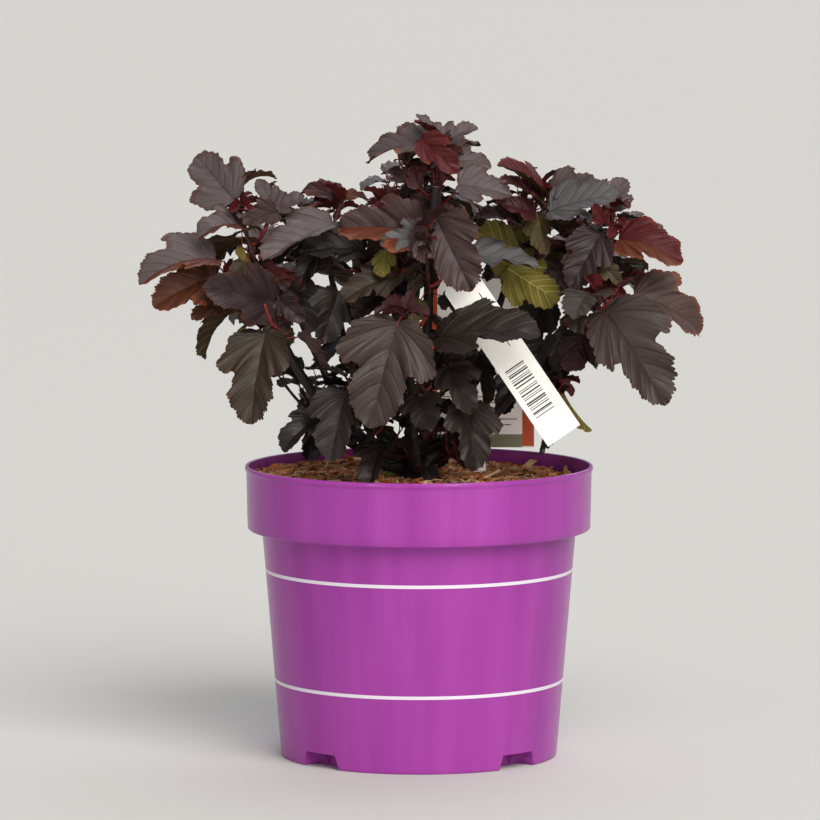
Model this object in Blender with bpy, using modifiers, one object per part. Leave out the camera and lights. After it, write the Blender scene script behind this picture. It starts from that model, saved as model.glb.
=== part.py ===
"""Dark-leaved ninebark shrub in its nursery pot.

Metres, +Z up. The origin is the middle of the pot's flat underside, and the plant is seen in the
photograph along +Y with +X to the right. Tables below are in millimetres and degrees. A heading is a
compass angle seen from above: 0 is +X, 90 is +Y, away from the viewer, and 270 is towards the viewer.
"""
import math
import random
from collections import namedtuple

import bmesh
import bpy
import numpy as np
from mathutils import Matrix, Vector
from mathutils.bvhtree import BVHTree

MM = 0.001
GAP = 0.3 * MM
MERGE = 0.001 * MM

# Pot: a thin moulded wall with a tall collar, four notched feet and a flat underside.
POT_HEIGHT = 175 * MM
POT_RIM_RADIUS = 103.8 * MM
POT_LIP = 0.7 * MM
POT_LIP_HEIGHT = 2.4 * MM
POT_COLLAR_HEIGHT = 38 * MM
POT_NECK_RADIUS = 94.3 * MM
POT_FOOT_RADIUS = 83.0 * MM
POT_WALL = 1.6 * MM
POT_FLOOR = 2.0 * MM
ROUND_STEPS = 40
NOTCH_HEADINGS = (45, 135, 225, 315)
NOTCH_HEIGHT = 9 * MM
NOTCH_DEPTH = 13 * MM
NOTCH_WIDTH_LOW = 32 * MM
NOTCH_WIDTH_HIGH = 24 * MM
DRAIN_WIDTH = 14 * MM
DRAIN_DEPTH = 6 * MM

# Potting mix: fills the pot to a low dome under the rim.
MIX_TOP = 165 * MM
MIX_DOME = 3.5 * MM
MIX_FACET_ROOM = 0.25 * MM

# Stool: the short cut-back stock that every bough leaves from, flared at the ground.
STOOL_HEIGHT = 27 * MM
STOOL_FLARE_RADIUS = 15 * MM
STOOL_WAIST_RADIUS = 9.5 * MM
STOOL_HEAD_RADIUS = 11 * MM
STOOL_STEPS = 16
STOOL_LEVELS = 7
STOOL_EDGE = 1.5 * MM

# Boughs from the stool: heading and height where they leave it (a height of None is its top, at the
# given heading from its middle), foot and tip radius, the knee they lean to and the tip.
BOUGH_FLARE = 0.9
BOUGH_FLARE_RUN = 5 * MM
BOUGH_LEAD = 0.35
BOUGH_POINTS = 9
BOUGH_TOP_OFFSET = 5.4 * MM
LIMB_ROOM = 1.1
STRAIGHT_FOOT = 1.5 * MM
BOUGHS = {
    "bough_middle": (320, None, 3.3, 2.5, (3, -8, 262), (10, -8, 342)),
    "bough_middle_left": (150, None, 3.2, 2.4, (-17, 5, 265), (-6, 8, 350)),
    "bough_left": (185, 20, 3.2, 1.9, (-74, -6, 212), (-96, -12, 292)),
    "bough_left_inner": (150, 21, 2.8, 1.7, (-42, 16, 222), (-53, 14, 288)),
    "bough_left_low": (203, 9, 2.8, 1.6, (-50, -18, 190), (-79, -26, 246)),
    "bough_right": (350, 20, 3.3, 2.0, (66, -6, 232), (103, -8, 281)),
    "bough_right_inner": (35, 21, 2.9, 1.7, (34, 18, 235), (62, 16, 308)),
    "bough_front": (268, 9, 2.6, 1.6, (-4, -42, 195), (-6, -40, 250)),
    "bough_back": (100, 19, 3.0, 1.8, (-9, 54, 222), (2, 68, 300)),
    "bough_back_left": (135, 8, 2.8, 1.7, (-46, 66, 195), (-74, 80, 258)),
}

# Boughs from another bough: which, how far along it, heading, then foot and tip radius, knee and tip.
SIDE_BOUGHS = {
    "bough_right_low": ("bough_right", 0.62, 300, 2.0, 1.5, (88, -30, 236), (99, -34, 256)),
    "bough_back_right": ("bough_back", 0.5, 50, 2.3, 1.6, (44, 82, 232), (80, 84, 268)),
}

# Masses of foliage: the bough or stool that carries them, how far along it (1 is its tip), heading,
# rise and length of the main stem, count of leaves, blade length and count of side twigs.
MASSES = {
    "foliage_top": ("bough_middle", 0.93, 75, 78, 42, 5, 40, 1),
    "foliage_top_left": ("bough_middle_left", 0.84, 240, 50, 24, 4, 46, 1),
    "foliage_centre": ("bough_middle", 0.70, 268, 60, 44, 5, 48, 1),
    "foliage_centre_left": ("bough_middle_left", 0.68, 210, 18, 26, 4, 50, 1),
    "foliage_left_top": ("bough_left", 1.0, 160, 72, 46, 5, 44, 1),
    "foliage_left_outer": ("bough_left", 0.88, 190, 45, 34, 4, 46, 0),
    "foliage_left_low": ("bough_left_low", 1.0, 150, 78, 46, 4, 50, 1),
    "foliage_left_inner": ("bough_left_inner", 1.0, 60, 75, 42, 6, 48, 1),
    "foliage_front": ("bough_front", 1.0, 255, 55, 24, 4, 50, 1),
    "foliage_front_low": ("bough_front", 0.76, 275, 10, 16, 3, 42, 0),
    "foliage_front_right": ("bough_middle", 0.42, 290, 14, 42, 4, 50, 1),
    "foliage_right_inner": ("bough_right_inner", 1.0, 20, 68, 32, 5, 44, 1),
    "foliage_right_centre": ("bough_right_inner", 0.93, 330, 30, 22, 5, 46, 1),
    "foliage_right_top": ("bough_right", 1.0, 40, 72, 52, 5, 44, 1),
    "foliage_right_outer": ("bough_right", 0.86, 350, 42, 42, 5, 48, 1),
    "foliage_right_low": ("bough_right_low", 1.0, 310, 65, 28, 5, 50, 1),
    "foliage_right_under": ("bough_right", 0.54, 325, 8, 30, 4, 40, 0),
    "foliage_low_left": ("stool", 0.55, 226, 46, 70, 4, 46, 0),
    "foliage_low_right": ("stool", 0.45, 316, 57, 50, 4, 44, 0),
    "foliage_low_back": ("stool", 0.45, 70, 50, 36, 5, 50, 1),
    "foliage_back": ("bough_back", 1.0, 80, 75, 44, 8, 54, 1),
    "foliage_back_middle": ("bough_back", 0.6, 150, 30, 36, 6, 54, 1),
    "foliage_back_left": ("bough_back_left", 1.0, 130, 60, 46, 8, 54, 1),
    "foliage_back_left_low": ("bough_back_left", 0.62, 165, 25, 40, 6, 54, 1),
    "foliage_back_right": ("bough_back_right", 1.0, 55, 60, 46, 8, 54, 1),
    "foliage_back_right_low": ("bough_back_right", 0.5, 350, 10, 44, 7, 54, 1),
}

# The leaves that show best: place along the stem of their mass, heading, rise and roll of the blade,
# its length, the length of its stalk, and how far the blade bends down from its foot to its tip.
SHOWN_LEAVES = {
    "foliage_top": (
        (0.88, 186, 24, -31, 45, 6, 72),
        (1.00, 170, 60, -30, 20, 3, 20),
        (0.95, 5, 35, 45, 24, 5, 30),
        (0.78, 0, 10, 40, 26, 9, 45),
        (0.92, 318, -62, 180, 26, 12, 20),
        (0.10, 3, 12, 40, 36, 8, 30),
    ),
    "foliage_top_left": (
        (0.45, 186, 30, -25, 42, 4, 70),
        (1.00, 190, 35, -40, 20, 4, 40),
        (0.20, 235, -40, -20, 28, 8, 30),
    ),
    "foliage_centre_left": (
        (0.10, 200, -30, -40, 32, 8, 30),
        (0.70, 188, -5, -45, 44, 6, 35),
    ),
    "foliage_centre": (
        (0.84, 308, -52, 25, 52, 15, 20),
        (1.00, 342, -8, 60, 44, 24, 15),
    ),
    "foliage_left_top": (
        (0.85, 180, 34, -64, 38, 6, 15),
        (1.00, 5, 0, 50, 36, 5, 25),
        (0.50, 185, 25, -20, 30, 6, 75),
        (0.62, 290, -15, 20, 26, 5, 30),
        (0.10, 212, 22, 150, 20, 6, 20),
    ),
    "foliage_left_outer": (
        (1.00, 182, 14, -38, 56, 3, 52),
        (0.70, 184, 0, -50, 50, 5, 50),
        (0.45, 195, -15, -20, 22, 12, 40),
        (0.30, 215, -70, 180, 20, 10, 20),
    ),
    "foliage_left_low": (
        (0.72, 201, 8, -62, 44, 5, 25),
        (1.00, 300, -45, 20, 30, 4, 30),
        (0.42, 240, -60, -8, 56, 12, 30),
    ),
    "foliage_left_inner": (
        (1.00, 176, 45, -30, 32, 5, 100),
        (0.66, 203, -14, -55, 46, 3, 25),
        (1.00, 350, 40, 30, 18, 4, 90),
    ),
    "foliage_front": (
        (1.00, 230, -66, -35, 66, 6, 15),
    ),
    "foliage_front_low": (
        (0.80, 256, -40, -15, 34, 5, 25),
    ),
    "foliage_front_right": (
        (0.80, 329, 6, 40, 60, 4, 25),
        (0.58, 305, -42, 25, 34, 6, 30),
    ),
    "foliage_low_left": (
        (0.96, 240, -58, -15, 44, 6, 25),
        (0.50, 183, -8, -20, 30, 40, 100),
        (0.15, 213, -6, -10, 34, 28, 8),
    ),
    "foliage_low_right": (
        (0.98, 285, -58, 0, 42, 6, 25),
    ),
    "foliage_right_inner": (
        (0.98, 178, 38, -25, 29, 4, 25),
        (0.85, 182, 28, -35, 28, 4, 50),
        (0.35, 183, 32, -40, 18, 8, 30),
        (0.10, 180, 25, -20, 28, 12, 70),
        (0.90, 3, 12, 50, 32, 5, 30),
        (0.60, 350, -62, 180, 30, 3, 20),
    ),
    "foliage_right_centre": (
        (0.30, 350, -38, 230, 34, 3, 20),
        (1.00, 207, 30, 130, 38, 4, 20),
    ),
    "foliage_right_top": (
        (0.75, 182, 4, -38, 38, 6, 25),
        (0.90, 60, 60, 30, 24, 4, 20),
        (0.72, 222, -50, -15, 38, 8, 25),
        (0.66, 28, 8, 62, 44, 8, 45),
        (0.50, 327, 6, 25, 43, 10, 70),
        (0.60, 262, -60, 200, 24, 6, 20),
    ),
    "foliage_right_low": (
        (0.70, 327, -48, 42, 68, 5, 20),
        (0.10, 230, -60, 150, 28, 6, 30),
    ),
    "foliage_right_outer": (
        (0.80, 356, -12, 45, 50, 14, 45),
    ),
    "foliage_right_under": (
        (1.00, 335, -60, 180, 28, 4, 20),
    ),
}

# Twigs: radii, then the lean, length and rise of the side twigs against their stem.
STEM_RADIUS = 1.5
STEM_COLLAR = 0.4
STEM_POINTS = 5
TWIG_TIP_RADIUS = 0.8
TWIG_FOOT_SHARE = 0.75
TWIG_POINTS = 4
TWIG_FIRST_PLACE = 0.3
TWIG_PLACES = 0.35
TWIG_PLACE_SLACK = 0.1
TWIG_TURN = 72
TWIG_TRY_TURN = 30
TWIG_LENGTHS = (0.56, 0.8)
TWIG_RISES = (30, 55)
TWIG_FIRST_RISE = 10
TWIG_LEAVES = 3
TWIG_LEAF_SHARE = 0.82
TWIG_LEAF_TURN = 37
LEAN = 0.45

# Leaves: they stand in a spiral of two turns for five leaves. Shares are of the blade's length, and the
# pairs are the least and the most of what is drawn for each leaf.
SPIRAL_TURN = 144
SPIRAL_SLACK = 18
FIRST_LEAF_PLACE = 0.22
YOUNG_SIZE = 0.55
AGE_POWER = 0.6
SIZES = (0.85, 1.12)
TRY_SHRINK = 0.04
TOP_RISE = 42
RISE_FALL = 78
RISE_POWER = 0.7
RISE_SLACK = 16
ROLL_SLACK = 26
BENDS = (22, 75)
FOLDS = (4, 24)
CURLS = (0.02, 0.3)
SHOWN_FOLD = 14
SHOWN_CURL = 0.12
LEAST_BEND = 5
STALK_SHARE = 0.34
STALK_LIFT = 45
SHOWN_STALK_LIFT = 30
STEEPEST_STALK = 60
STALK_RADIUS = 0.75
FULL_STALK_BLADE = 45
BLADE_THICKNESS = 0.016
BLADE_FOOT_THICKNESS = 1.15

# Room kept round twigs and leaves, how far a leaf may stand from the stem of its mass in blade lengths,
# and how many ways a leaf is tried.
TWIG_ROOM = 0.4
CLEARANCE = 0.8
SHOWN_CLEARANCE = 0.4
CLEARANCE_GROWTH = 1.04
STALK_ROOM_START = 2.5
MASS_REACH = 1.45
LEAF_TRIES = 7

# Sections of a blade from its stalk to its tip, in blade lengths: where the midrib is, then where the
# margin is along and across the blade. In the full rows the third is the tip of the side lobe and the
# fourth the notch beside it; the leaves that the rule adds have the plain rows, a broad pointed oval.
BLADE_SECTIONS = (
    (0.16, 0.16, 0.31),
    (0.34, 0.37, 0.44),
    (0.47, 0.60, 0.41),
    (0.56, 0.57, 0.24),
    (0.78, 0.79, 0.20),
)
PLAIN_SECTIONS = (
    (0.22, 0.20, 0.37),
    (0.56, 0.60, 0.36),
)

# Labels: a strip looped on the middle bough, and a card pushed into the mix behind the stems.
TAG_WIDTH = 23
TAG_TAIL_WIDTH = 8
TAG_THICKNESS = 0.4
TAG_HEADING = 276
TAG_FOOT = (86, -44, 197)
TAG_LOOP_PLACE = 0.86
TAG_LOOP_ROOM = 0.4
TAG_LOOP_HALF_WIDTH = 3
TAG_LOOP_STEPS = 14
TAG_BOW = 3
CARD_WIDTH = 66
CARD_HEIGHT = 118
CARD_THICKNESS = 0.8
CARD_CORNER = 4
CARD_PLACE = (37, 42)
CARD_STAKE_WIDTH = 16
CARD_STAKE_LENGTH = 45
CARD_LEAN = -4

Leaf = namedtuple("Leaf", "root base ahead side up size bend fold curl sections")
Limb = namedtuple("Limb", "foot points radii")


def vec(triple):
    """A place given in millimetres, in metres."""
    return np.array(triple, dtype=float) * MM


def unit(vector):
    """The vector at length one."""
    return vector / np.linalg.norm(vector)


def pointing(heading, rise):
    """Unit vector at a compass heading and a rise above level."""
    turn = math.radians(heading)
    lift = math.radians(rise)
    return np.array((math.cos(lift) * math.cos(turn), math.cos(lift) * math.sin(turn), math.sin(lift)))


def arc(start, knee, end, count):
    """Points on the quadratic curve from start to end that leans towards the knee."""
    t = np.linspace(0, 1, count)[:, None]
    return (1 - t) ** 2 * start + 2 * t * (1 - t) * knee + t ** 2 * end


def along(points, share):
    """The place and direction at a share of the way along a row of points."""
    spot = share * (len(points) - 1)
    first = min(int(spot), len(points) - 2)
    step = points[first + 1] - points[first]
    return points[first] + (spot - first) * step, unit(step)


def across(direction, heading):
    """Unit vector square to a direction, on the side of a compass heading."""
    wanted = pointing(heading, 0)
    return unit(wanted - np.dot(wanted, direction) * direction)


def clear_scene():
    """Empty the file of objects and of collections."""
    for thing in list(bpy.data.objects):
        bpy.data.objects.remove(thing, do_unlink=True)
    for group in list(bpy.data.collections):
        bpy.data.collections.remove(group)


def new_group(name):
    """A collection linked to the scene."""
    group = bpy.data.collections.new(name)
    bpy.context.scene.collection.children.link(group)
    return group


def new_object(name, data, group):
    """An object of the given data in a collection."""
    thing = bpy.data.objects.new(name, data)
    group.objects.link(thing)
    return thing


def mesh_from(name, points, faces):
    """A mesh of numpy points and lists of corner numbers."""
    mesh = bpy.data.meshes.new(name)
    mesh.from_pydata([tuple(point) for point in points], [], [tuple(face) for face in faces])
    mesh.update()
    return mesh


def finish(thing, colour, roughness, smooth=False):
    """Give an object its own material, and smooth shading where it is round."""
    skin = bpy.data.materials.new(thing.name)
    skin.use_nodes = True
    shader = skin.node_tree.nodes["Principled BSDF"]
    shader.inputs["Base Color"].default_value = (*colour, 1)
    shader.inputs["Roughness"].default_value = roughness
    shader.inputs["Metallic"].default_value = 0
    thing.data.materials.clear()
    thing.data.materials.append(skin)
    if smooth:
        thing.data.shade_smooth()
        thing.data.set_sharp_from_angle(angle=math.radians(40))


def bake(thing):
    """Replace an object's mesh or curve by its evaluated mesh, merged and in world space."""
    shape = thing.evaluated_get(bpy.context.evaluated_depsgraph_get())
    mesh = bpy.data.meshes.new_from_object(shape)
    mesh.transform(thing.matrix_world)
    work = bmesh.new()
    work.from_mesh(mesh)
    bmesh.ops.remove_doubles(work, verts=work.verts, dist=MERGE)
    work.to_mesh(mesh)
    work.free()
    group = thing.users_collection[0]
    name = thing.name
    bpy.data.objects.remove(thing)
    return new_object(name, mesh, group)


def combine(target, tools, operation, solver="EXACT"):
    """One Boolean with a collection of tools, applied; the tools and their collection go."""
    box = new_group("tools")
    for tool in tools:
        for group in list(tool.users_collection):
            group.objects.unlink(tool)
        box.objects.link(tool)
        tool.hide_render = True
        tool.display_type = "WIRE"
    step = target.modifiers.new("combine", "BOOLEAN")
    step.operation = operation
    step.operand_type = "COLLECTION"
    step.collection = box
    step.solver = solver
    bpy.context.view_layer.update()
    result = bake(target)
    for tool in tools:
        bpy.data.objects.remove(tool)
    bpy.data.collections.remove(box)
    return result


def keep_main_body(thing):
    """Drop loose scraps and the skins of sealed hollows: keep the body of the widest reach."""
    work = bmesh.new()
    work.from_mesh(thing.data)
    unseen = set(work.verts)
    bodies = []
    while unseen:
        front = [unseen.pop()]
        body = set(front)
        while front:
            for edge in front.pop().link_edges:
                for vertex in edge.verts:
                    if vertex in unseen:
                        unseen.discard(vertex)
                        body.add(vertex)
                        front.append(vertex)
        bodies.append(body)
    reach = [sum(max(v.co[axis] for v in body) - min(v.co[axis] for v in body) for axis in range(3))
             for body in bodies]
    main = bodies[reach.index(max(reach))]
    bmesh.ops.delete(work, geom=[v for v in work.verts if v not in main], context="VERTS")
    work.to_mesh(thing.data)
    work.free()


def turned(name, profile, steps, group):
    """A solid of revolution: a profile from its top middle, down its outside, to its bottom middle."""
    points = [(radius, 0, height) for radius, height in profile]
    edges = [(i, i + 1) for i in range(len(points) - 1)]
    mesh = bpy.data.meshes.new(name)
    mesh.from_pydata(points, edges, [])
    thing = new_object(name, mesh, group)
    screw = thing.modifiers.new("turn", "SCREW")
    screw.steps = steps
    screw.render_steps = steps
    screw.use_merge_vertices = True
    screw.merge_threshold = MERGE
    screw.use_smooth_shade = True
    bpy.context.view_layer.update()
    return bake(thing)


def tube(name, points, radii, group, resolution):
    """A tapering limb through points, its radii in millimetres, with closed ends."""
    curve = bpy.data.curves.new(name, "CURVE")
    curve.dimensions = "3D"
    curve.bevel_depth = MM
    curve.bevel_resolution = resolution
    curve.use_fill_caps = True
    spline = curve.splines.new("POLY")
    spline.points.add(len(points) - 1)
    for knot, point, radius in zip(spline.points, points, radii):
        knot.co = (*point, 1)
        knot.radius = radius
    thing = new_object(name, curve, group)
    bpy.context.view_layer.update()
    return bake(thing)


def wedge(name, heading, near, far, width_low, width_high, bottom, top, group):
    """A block with slanting flanks across a heading, between two distances from the pot's axis."""
    mesh = bpy.data.meshes.new(name)
    work = bmesh.new()
    bmesh.ops.create_cube(work, size=1)
    for corner in work.verts:
        high = corner.co.z > 0
        corner.co.x = far if corner.co.x > 0 else near
        corner.co.y *= width_high if high else width_low
        corner.co.z = top if high else bottom
    work.transform(Matrix.Rotation(math.radians(heading), 4, "Z"))
    work.to_mesh(mesh)
    work.free()
    return new_object(name, mesh, group)


def cavity_profile(room):
    """Inside of the pot, drawn in by a room all round, up to the height where the collar steps."""
    step = POT_HEIGHT - POT_COLLAR_HEIGHT
    wall = POT_WALL + room
    return [
        (POT_RIM_RADIUS - wall, step + POT_WALL + room),
        (POT_NECK_RADIUS - wall, step + 0.2 * MM + room),
        (POT_FOOT_RADIUS - wall, POT_FLOOR + room),
        (0, POT_FLOOR + room),
    ]


def notch_blocks(name, room, group):
    """The space that the notched feet take inside the pot, one block for each notch."""
    grown = POT_WALL + room
    far = POT_FOOT_RADIUS + 4 * MM
    near = POT_FOOT_RADIUS - NOTCH_DEPTH - grown
    return [wedge(name, heading, near, far, NOTCH_WIDTH_LOW + 2 * grown, NOTCH_WIDTH_HIGH + 2 * grown,
                  -5 * MM, NOTCH_HEIGHT + grown, group) for heading in NOTCH_HEADINGS]


def make_pot(group):
    """Outer form less the cavity, the four notches and a drain slot in the roof of each notch."""
    step = POT_HEIGHT - POT_COLLAR_HEIGHT
    outer = turned("pot", [
        (0, POT_HEIGHT),
        (POT_RIM_RADIUS, POT_HEIGHT),
        (POT_RIM_RADIUS + POT_LIP, POT_HEIGHT - 0.6 * MM),
        (POT_RIM_RADIUS + POT_LIP, POT_HEIGHT - POT_LIP_HEIGHT),
        (POT_RIM_RADIUS, POT_HEIGHT - POT_LIP_HEIGHT - 0.8 * MM),
        (POT_RIM_RADIUS - 0.4 * MM, step + 0.8 * MM),
        (POT_RIM_RADIUS - 1.2 * MM, step),
        (POT_NECK_RADIUS, step - 0.8 * MM),
        (POT_FOOT_RADIUS, 1.0 * MM),
        (POT_FOOT_RADIUS - 1.0 * MM, 0),
        (0, 0),
    ], ROUND_STEPS, group)
    inside = turned("pot_inside", [(0, POT_HEIGHT + 5 * MM),
                                   (POT_RIM_RADIUS - POT_WALL, POT_HEIGHT + 5 * MM)]
                    + cavity_profile(0), ROUND_STEPS, group)
    inside = combine(inside, notch_blocks("notch_room", 0, group), "DIFFERENCE")
    near = POT_FOOT_RADIUS - NOTCH_DEPTH
    far = POT_FOOT_RADIUS + 4 * MM
    notches = [wedge("notch", heading, near, far, NOTCH_WIDTH_LOW, NOTCH_WIDTH_HIGH, -5 * MM,
                     NOTCH_HEIGHT, group) for heading in NOTCH_HEADINGS]
    drains = [wedge("drain", heading, near + 2 * MM, near + 2 * MM + DRAIN_DEPTH, DRAIN_WIDTH,
                    DRAIN_WIDTH, NOTCH_HEIGHT - 2 * MM, NOTCH_HEIGHT + 2 * POT_WALL, group)
              for heading in NOTCH_HEADINGS]
    pot = combine(outer, [inside], "DIFFERENCE")
    pot = combine(pot, notches, "DIFFERENCE")
    pot = combine(pot, drains, "DIFFERENCE")
    finish(pot, (0.40, 0.06, 0.37), 0.35, smooth=True)
    return pot


def make_mix(group):
    """The filled inside of the pot, clear of its wall, with a slot for the card's stake."""
    profile = [(0, MIX_TOP), (45 * MM, MIX_TOP - 0.3 * MIX_DOME),
               (POT_RIM_RADIUS - POT_WALL - GAP - MIX_FACET_ROOM, MIX_TOP - MIX_DOME)]
    mix = turned("potting_mix", profile + cavity_profile(GAP + MIX_FACET_ROOM), ROUND_STEPS, group)
    mix = combine(mix, notch_blocks("notch_room", GAP, group), "DIFFERENCE")
    mix = combine(mix, [make_card("stake_slot", group, GAP)], "DIFFERENCE")
    finish(mix, (0.13, 0.06, 0.03), 0.95)
    return mix


def stool_radius(height):
    """Radius of the stool at a height above its cut: a flare, a waist and a swollen head."""
    levels = (0, 0.12 * STOOL_HEIGHT, 0.35 * STOOL_HEIGHT, 0.75 * STOOL_HEIGHT, STOOL_HEIGHT)
    radii = (STOOL_FLARE_RADIUS, 0.85 * STOOL_FLARE_RADIUS, STOOL_WAIST_RADIUS + 0.5 * MM,
             STOOL_HEAD_RADIUS, STOOL_HEAD_RADIUS)
    return float(np.interp(height, levels, radii))


def make_stool(group):
    """The stock, cut flat at the mix and flat on top, with its edges rounded."""
    foot = MIX_TOP + GAP
    heights = np.linspace(1, 0, STOOL_LEVELS) * STOOL_HEIGHT
    rim = [(stool_radius(height), foot + height) for height in heights[1:]]
    profile = [(0, foot + STOOL_HEIGHT), (STOOL_HEAD_RADIUS - STOOL_EDGE, foot + STOOL_HEIGHT),
               (STOOL_HEAD_RADIUS, foot + STOOL_HEIGHT - STOOL_EDGE)] + rim + [(0, foot)]
    stool = turned("stool", profile, STOOL_STEPS, group)
    finish(stool, (0.05, 0.03, 0.03), 0.8, smooth=True)
    return stool


def limb_radii(points, foot, tip):
    """Radii along a limb: an even taper, and a flare over its first few millimetres."""
    steps = np.linalg.norm(np.diff(points, axis=0), axis=1)
    run = np.concatenate(([0], np.cumsum(steps)))
    share = run / run[-1]
    return foot + (tip - foot) * share + BOUGH_FLARE * np.exp(-run / BOUGH_FLARE_RUN)


def stool_start(heading, height, radius):
    """Where a limb leaves the stool, and its first direction: square to the flank or to the top."""
    foot = MIX_TOP + GAP
    if height is None:
        out = pointing(heading, 0) * BOUGH_TOP_OFFSET
        return out + np.array((0, 0, foot + STOOL_HEIGHT + GAP)), np.array((0, 0, 1.0))
    span = np.linspace(-1, 1, 5) * radius * MM + height * MM
    widest = max(stool_radius(level) for level in span)
    out = pointing(heading, 0)
    return out * (widest + GAP) + np.array((0, 0, foot + height * MM)), out


def limb_start(limb, share, heading):
    """Where a side limb leaves another limb, and its first direction: square to that limb."""
    place, direction = along(limb.points, share)
    if share >= 1:
        return place + GAP * direction, direction
    radius = float(np.interp(share, np.linspace(0, 1, len(limb.radii)), limb.radii)) * MM
    out = across(direction, heading)
    return place + out * (radius * LIMB_ROOM + GAP), out


def bent_limb(start, first, knee, end, foot, tip):
    """A limb from start to end: a short straight foot, so that its cut end is square, then a bend.

    The bend leaves along the first direction and leans towards the knee.
    """
    bend = start + first * STRAIGHT_FOOT
    lead = bend + first * BOUGH_LEAD * np.linalg.norm(knee - bend)
    t = np.linspace(0, 1, BOUGH_POINTS)[:, None]
    points = (1 - t) ** 3 * bend + 3 * t * (1 - t) ** 2 * lead + 3 * t ** 2 * (1 - t) * knee + t ** 3 * end
    return Limb(start, points, limb_radii(points, foot, tip))


def limb_tube(name, limb, group, resolution):
    """The solid of a limb, with its straight foot."""
    points = np.vstack([limb.foot, limb.points])
    radii = np.concatenate([limb.radii[:1], limb.radii])
    return tube(name, points, radii, group, resolution)


def make_boughs(group):
    """Every bough as a limb and as a solid."""
    limbs = {}
    solids = []
    for name, (heading, height, foot, tip, knee, end) in BOUGHS.items():
        start, first = stool_start(heading, height, foot + BOUGH_FLARE)
        limbs[name] = bent_limb(start, first, vec(knee), vec(end), foot, tip)
    for name, (parent, share, heading, foot, tip, knee, end) in SIDE_BOUGHS.items():
        start, first = limb_start(limbs[parent], share, heading)
        limbs[name] = bent_limb(start, first, vec(knee), vec(end), foot, tip)
    for name, limb in limbs.items():
        bough = limb_tube(name, limb, group, 1)
        finish(bough, (0.06, 0.035, 0.035), 0.7, smooth=True)
        solids.append(bough)
    return limbs, solids


def leaf_frame(heading, rise, roll):
    """Unit vectors ahead, to the side and up of a blade, turned about its midrib by the roll."""
    ahead = pointing(heading, rise)
    side = unit(np.cross(np.array((0, 0, 1.0)), ahead))
    up = np.cross(ahead, side)
    turn = math.radians(roll)
    return ahead, math.cos(turn) * side + math.sin(turn) * up, math.cos(turn) * up - math.sin(turn) * side


def on_blade(leaf, place, width, lift):
    """The point at a place along and a width across a blade, in blade lengths, lifted off it.

    The midrib bends down on an arc of the leaf's bend. The halves fold up from it by the fold angle
    and curl back down by the square of the width.
    """
    turn = leaf.bend * place
    ahead = leaf.size * math.sin(turn) / leaf.bend
    drop = leaf.size * (1 - math.cos(turn)) / leaf.bend
    normal = math.cos(turn) * leaf.up + math.sin(turn) * leaf.ahead
    flank = width * leaf.size
    rise = abs(flank) * math.sin(leaf.fold) - leaf.curl * width * width * leaf.size
    return (leaf.base + ahead * leaf.ahead - drop * leaf.up + flank * math.cos(leaf.fold) * leaf.side
            + (rise + lift) * normal)


def leaf_shape(leaf, spare=0.0, growth=1.0):
    """Points and triangles of a leaf with its stalk, as sections of four points from root to tip.

    The spare thickens it and the growth widens it, for telling whether it is clear of others.
    """
    thick = 0.5 * BLADE_THICKNESS * leaf.size + spare
    stalk = STALK_RADIUS * MM * min(1.0, leaf.size / (FULL_STALK_BLADE * MM)) + spare
    run = unit(leaf.base - leaf.root)
    side = unit(leaf.side - np.dot(leaf.side, run) * run)
    top = np.cross(run, side)
    root = leaf.root + (run * STALK_ROOM_START * MM if spare else 0)
    rings = [[root - side * stalk, root + top * stalk, root + side * stalk, root - top * stalk]]
    rings.append([leaf.base - leaf.side * stalk, leaf.base + leaf.up * stalk,
                  leaf.base + leaf.side * stalk, leaf.base - leaf.up * stalk])
    for midrib, margin, width in leaf.sections:
        width = width * growth
        thin = thick * (BLADE_FOOT_THICKNESS - midrib)
        rings.append([on_blade(leaf, margin, -width, 0), on_blade(leaf, midrib, 0, thin),
                      on_blade(leaf, margin, width, 0), on_blade(leaf, midrib, 0, -thin)])
    points = [point for ring in rings for point in ring] + [on_blade(leaf, growth, 0, 0)]
    faces = [(0, 1, 2), (0, 2, 3)]
    for ring in range(len(rings) - 1):
        for corner in range(4):
            a = 4 * ring + corner
            b = 4 * ring + (corner + 1) % 4
            faces += [(a, a + 4, b), (b, a + 4, b + 4)]
    last = 4 * (len(rings) - 1)
    tip = len(points) - 1
    faces += [(last + corner, tip, last + (corner + 1) % 4) for corner in range(4)]
    return np.array(points), faces


def bounds_of(points):
    """Lowest and highest corner of some points."""
    return points.min(axis=0), points.max(axis=0)


class Taken:
    """What already stands in the crown, as trees of triangles with their boxes."""

    def __init__(self):
        self.entries = []

    def add(self, points, faces, owner):
        tree = BVHTree.FromPolygons([tuple(point) for point in points], faces)
        self.entries.append((tree, *bounds_of(points), owner))

    def touches(self, points, faces, but=()):
        low, high = bounds_of(points)
        tree = None
        for other, other_low, other_high, owner in self.entries:
            if owner in but or (low > other_high).any() or (high < other_low).any():
                continue
            tree = tree or BVHTree.FromPolygons([tuple(point) for point in points], faces)
            if tree.overlap(other):
                return True
        return False


def solid_faces(thing):
    """Points and faces of an object, for the trees."""
    points = np.array([vertex.co[:] for vertex in thing.data.vertices])
    return points, [tuple(face.vertices) for face in thing.data.polygons]


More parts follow.
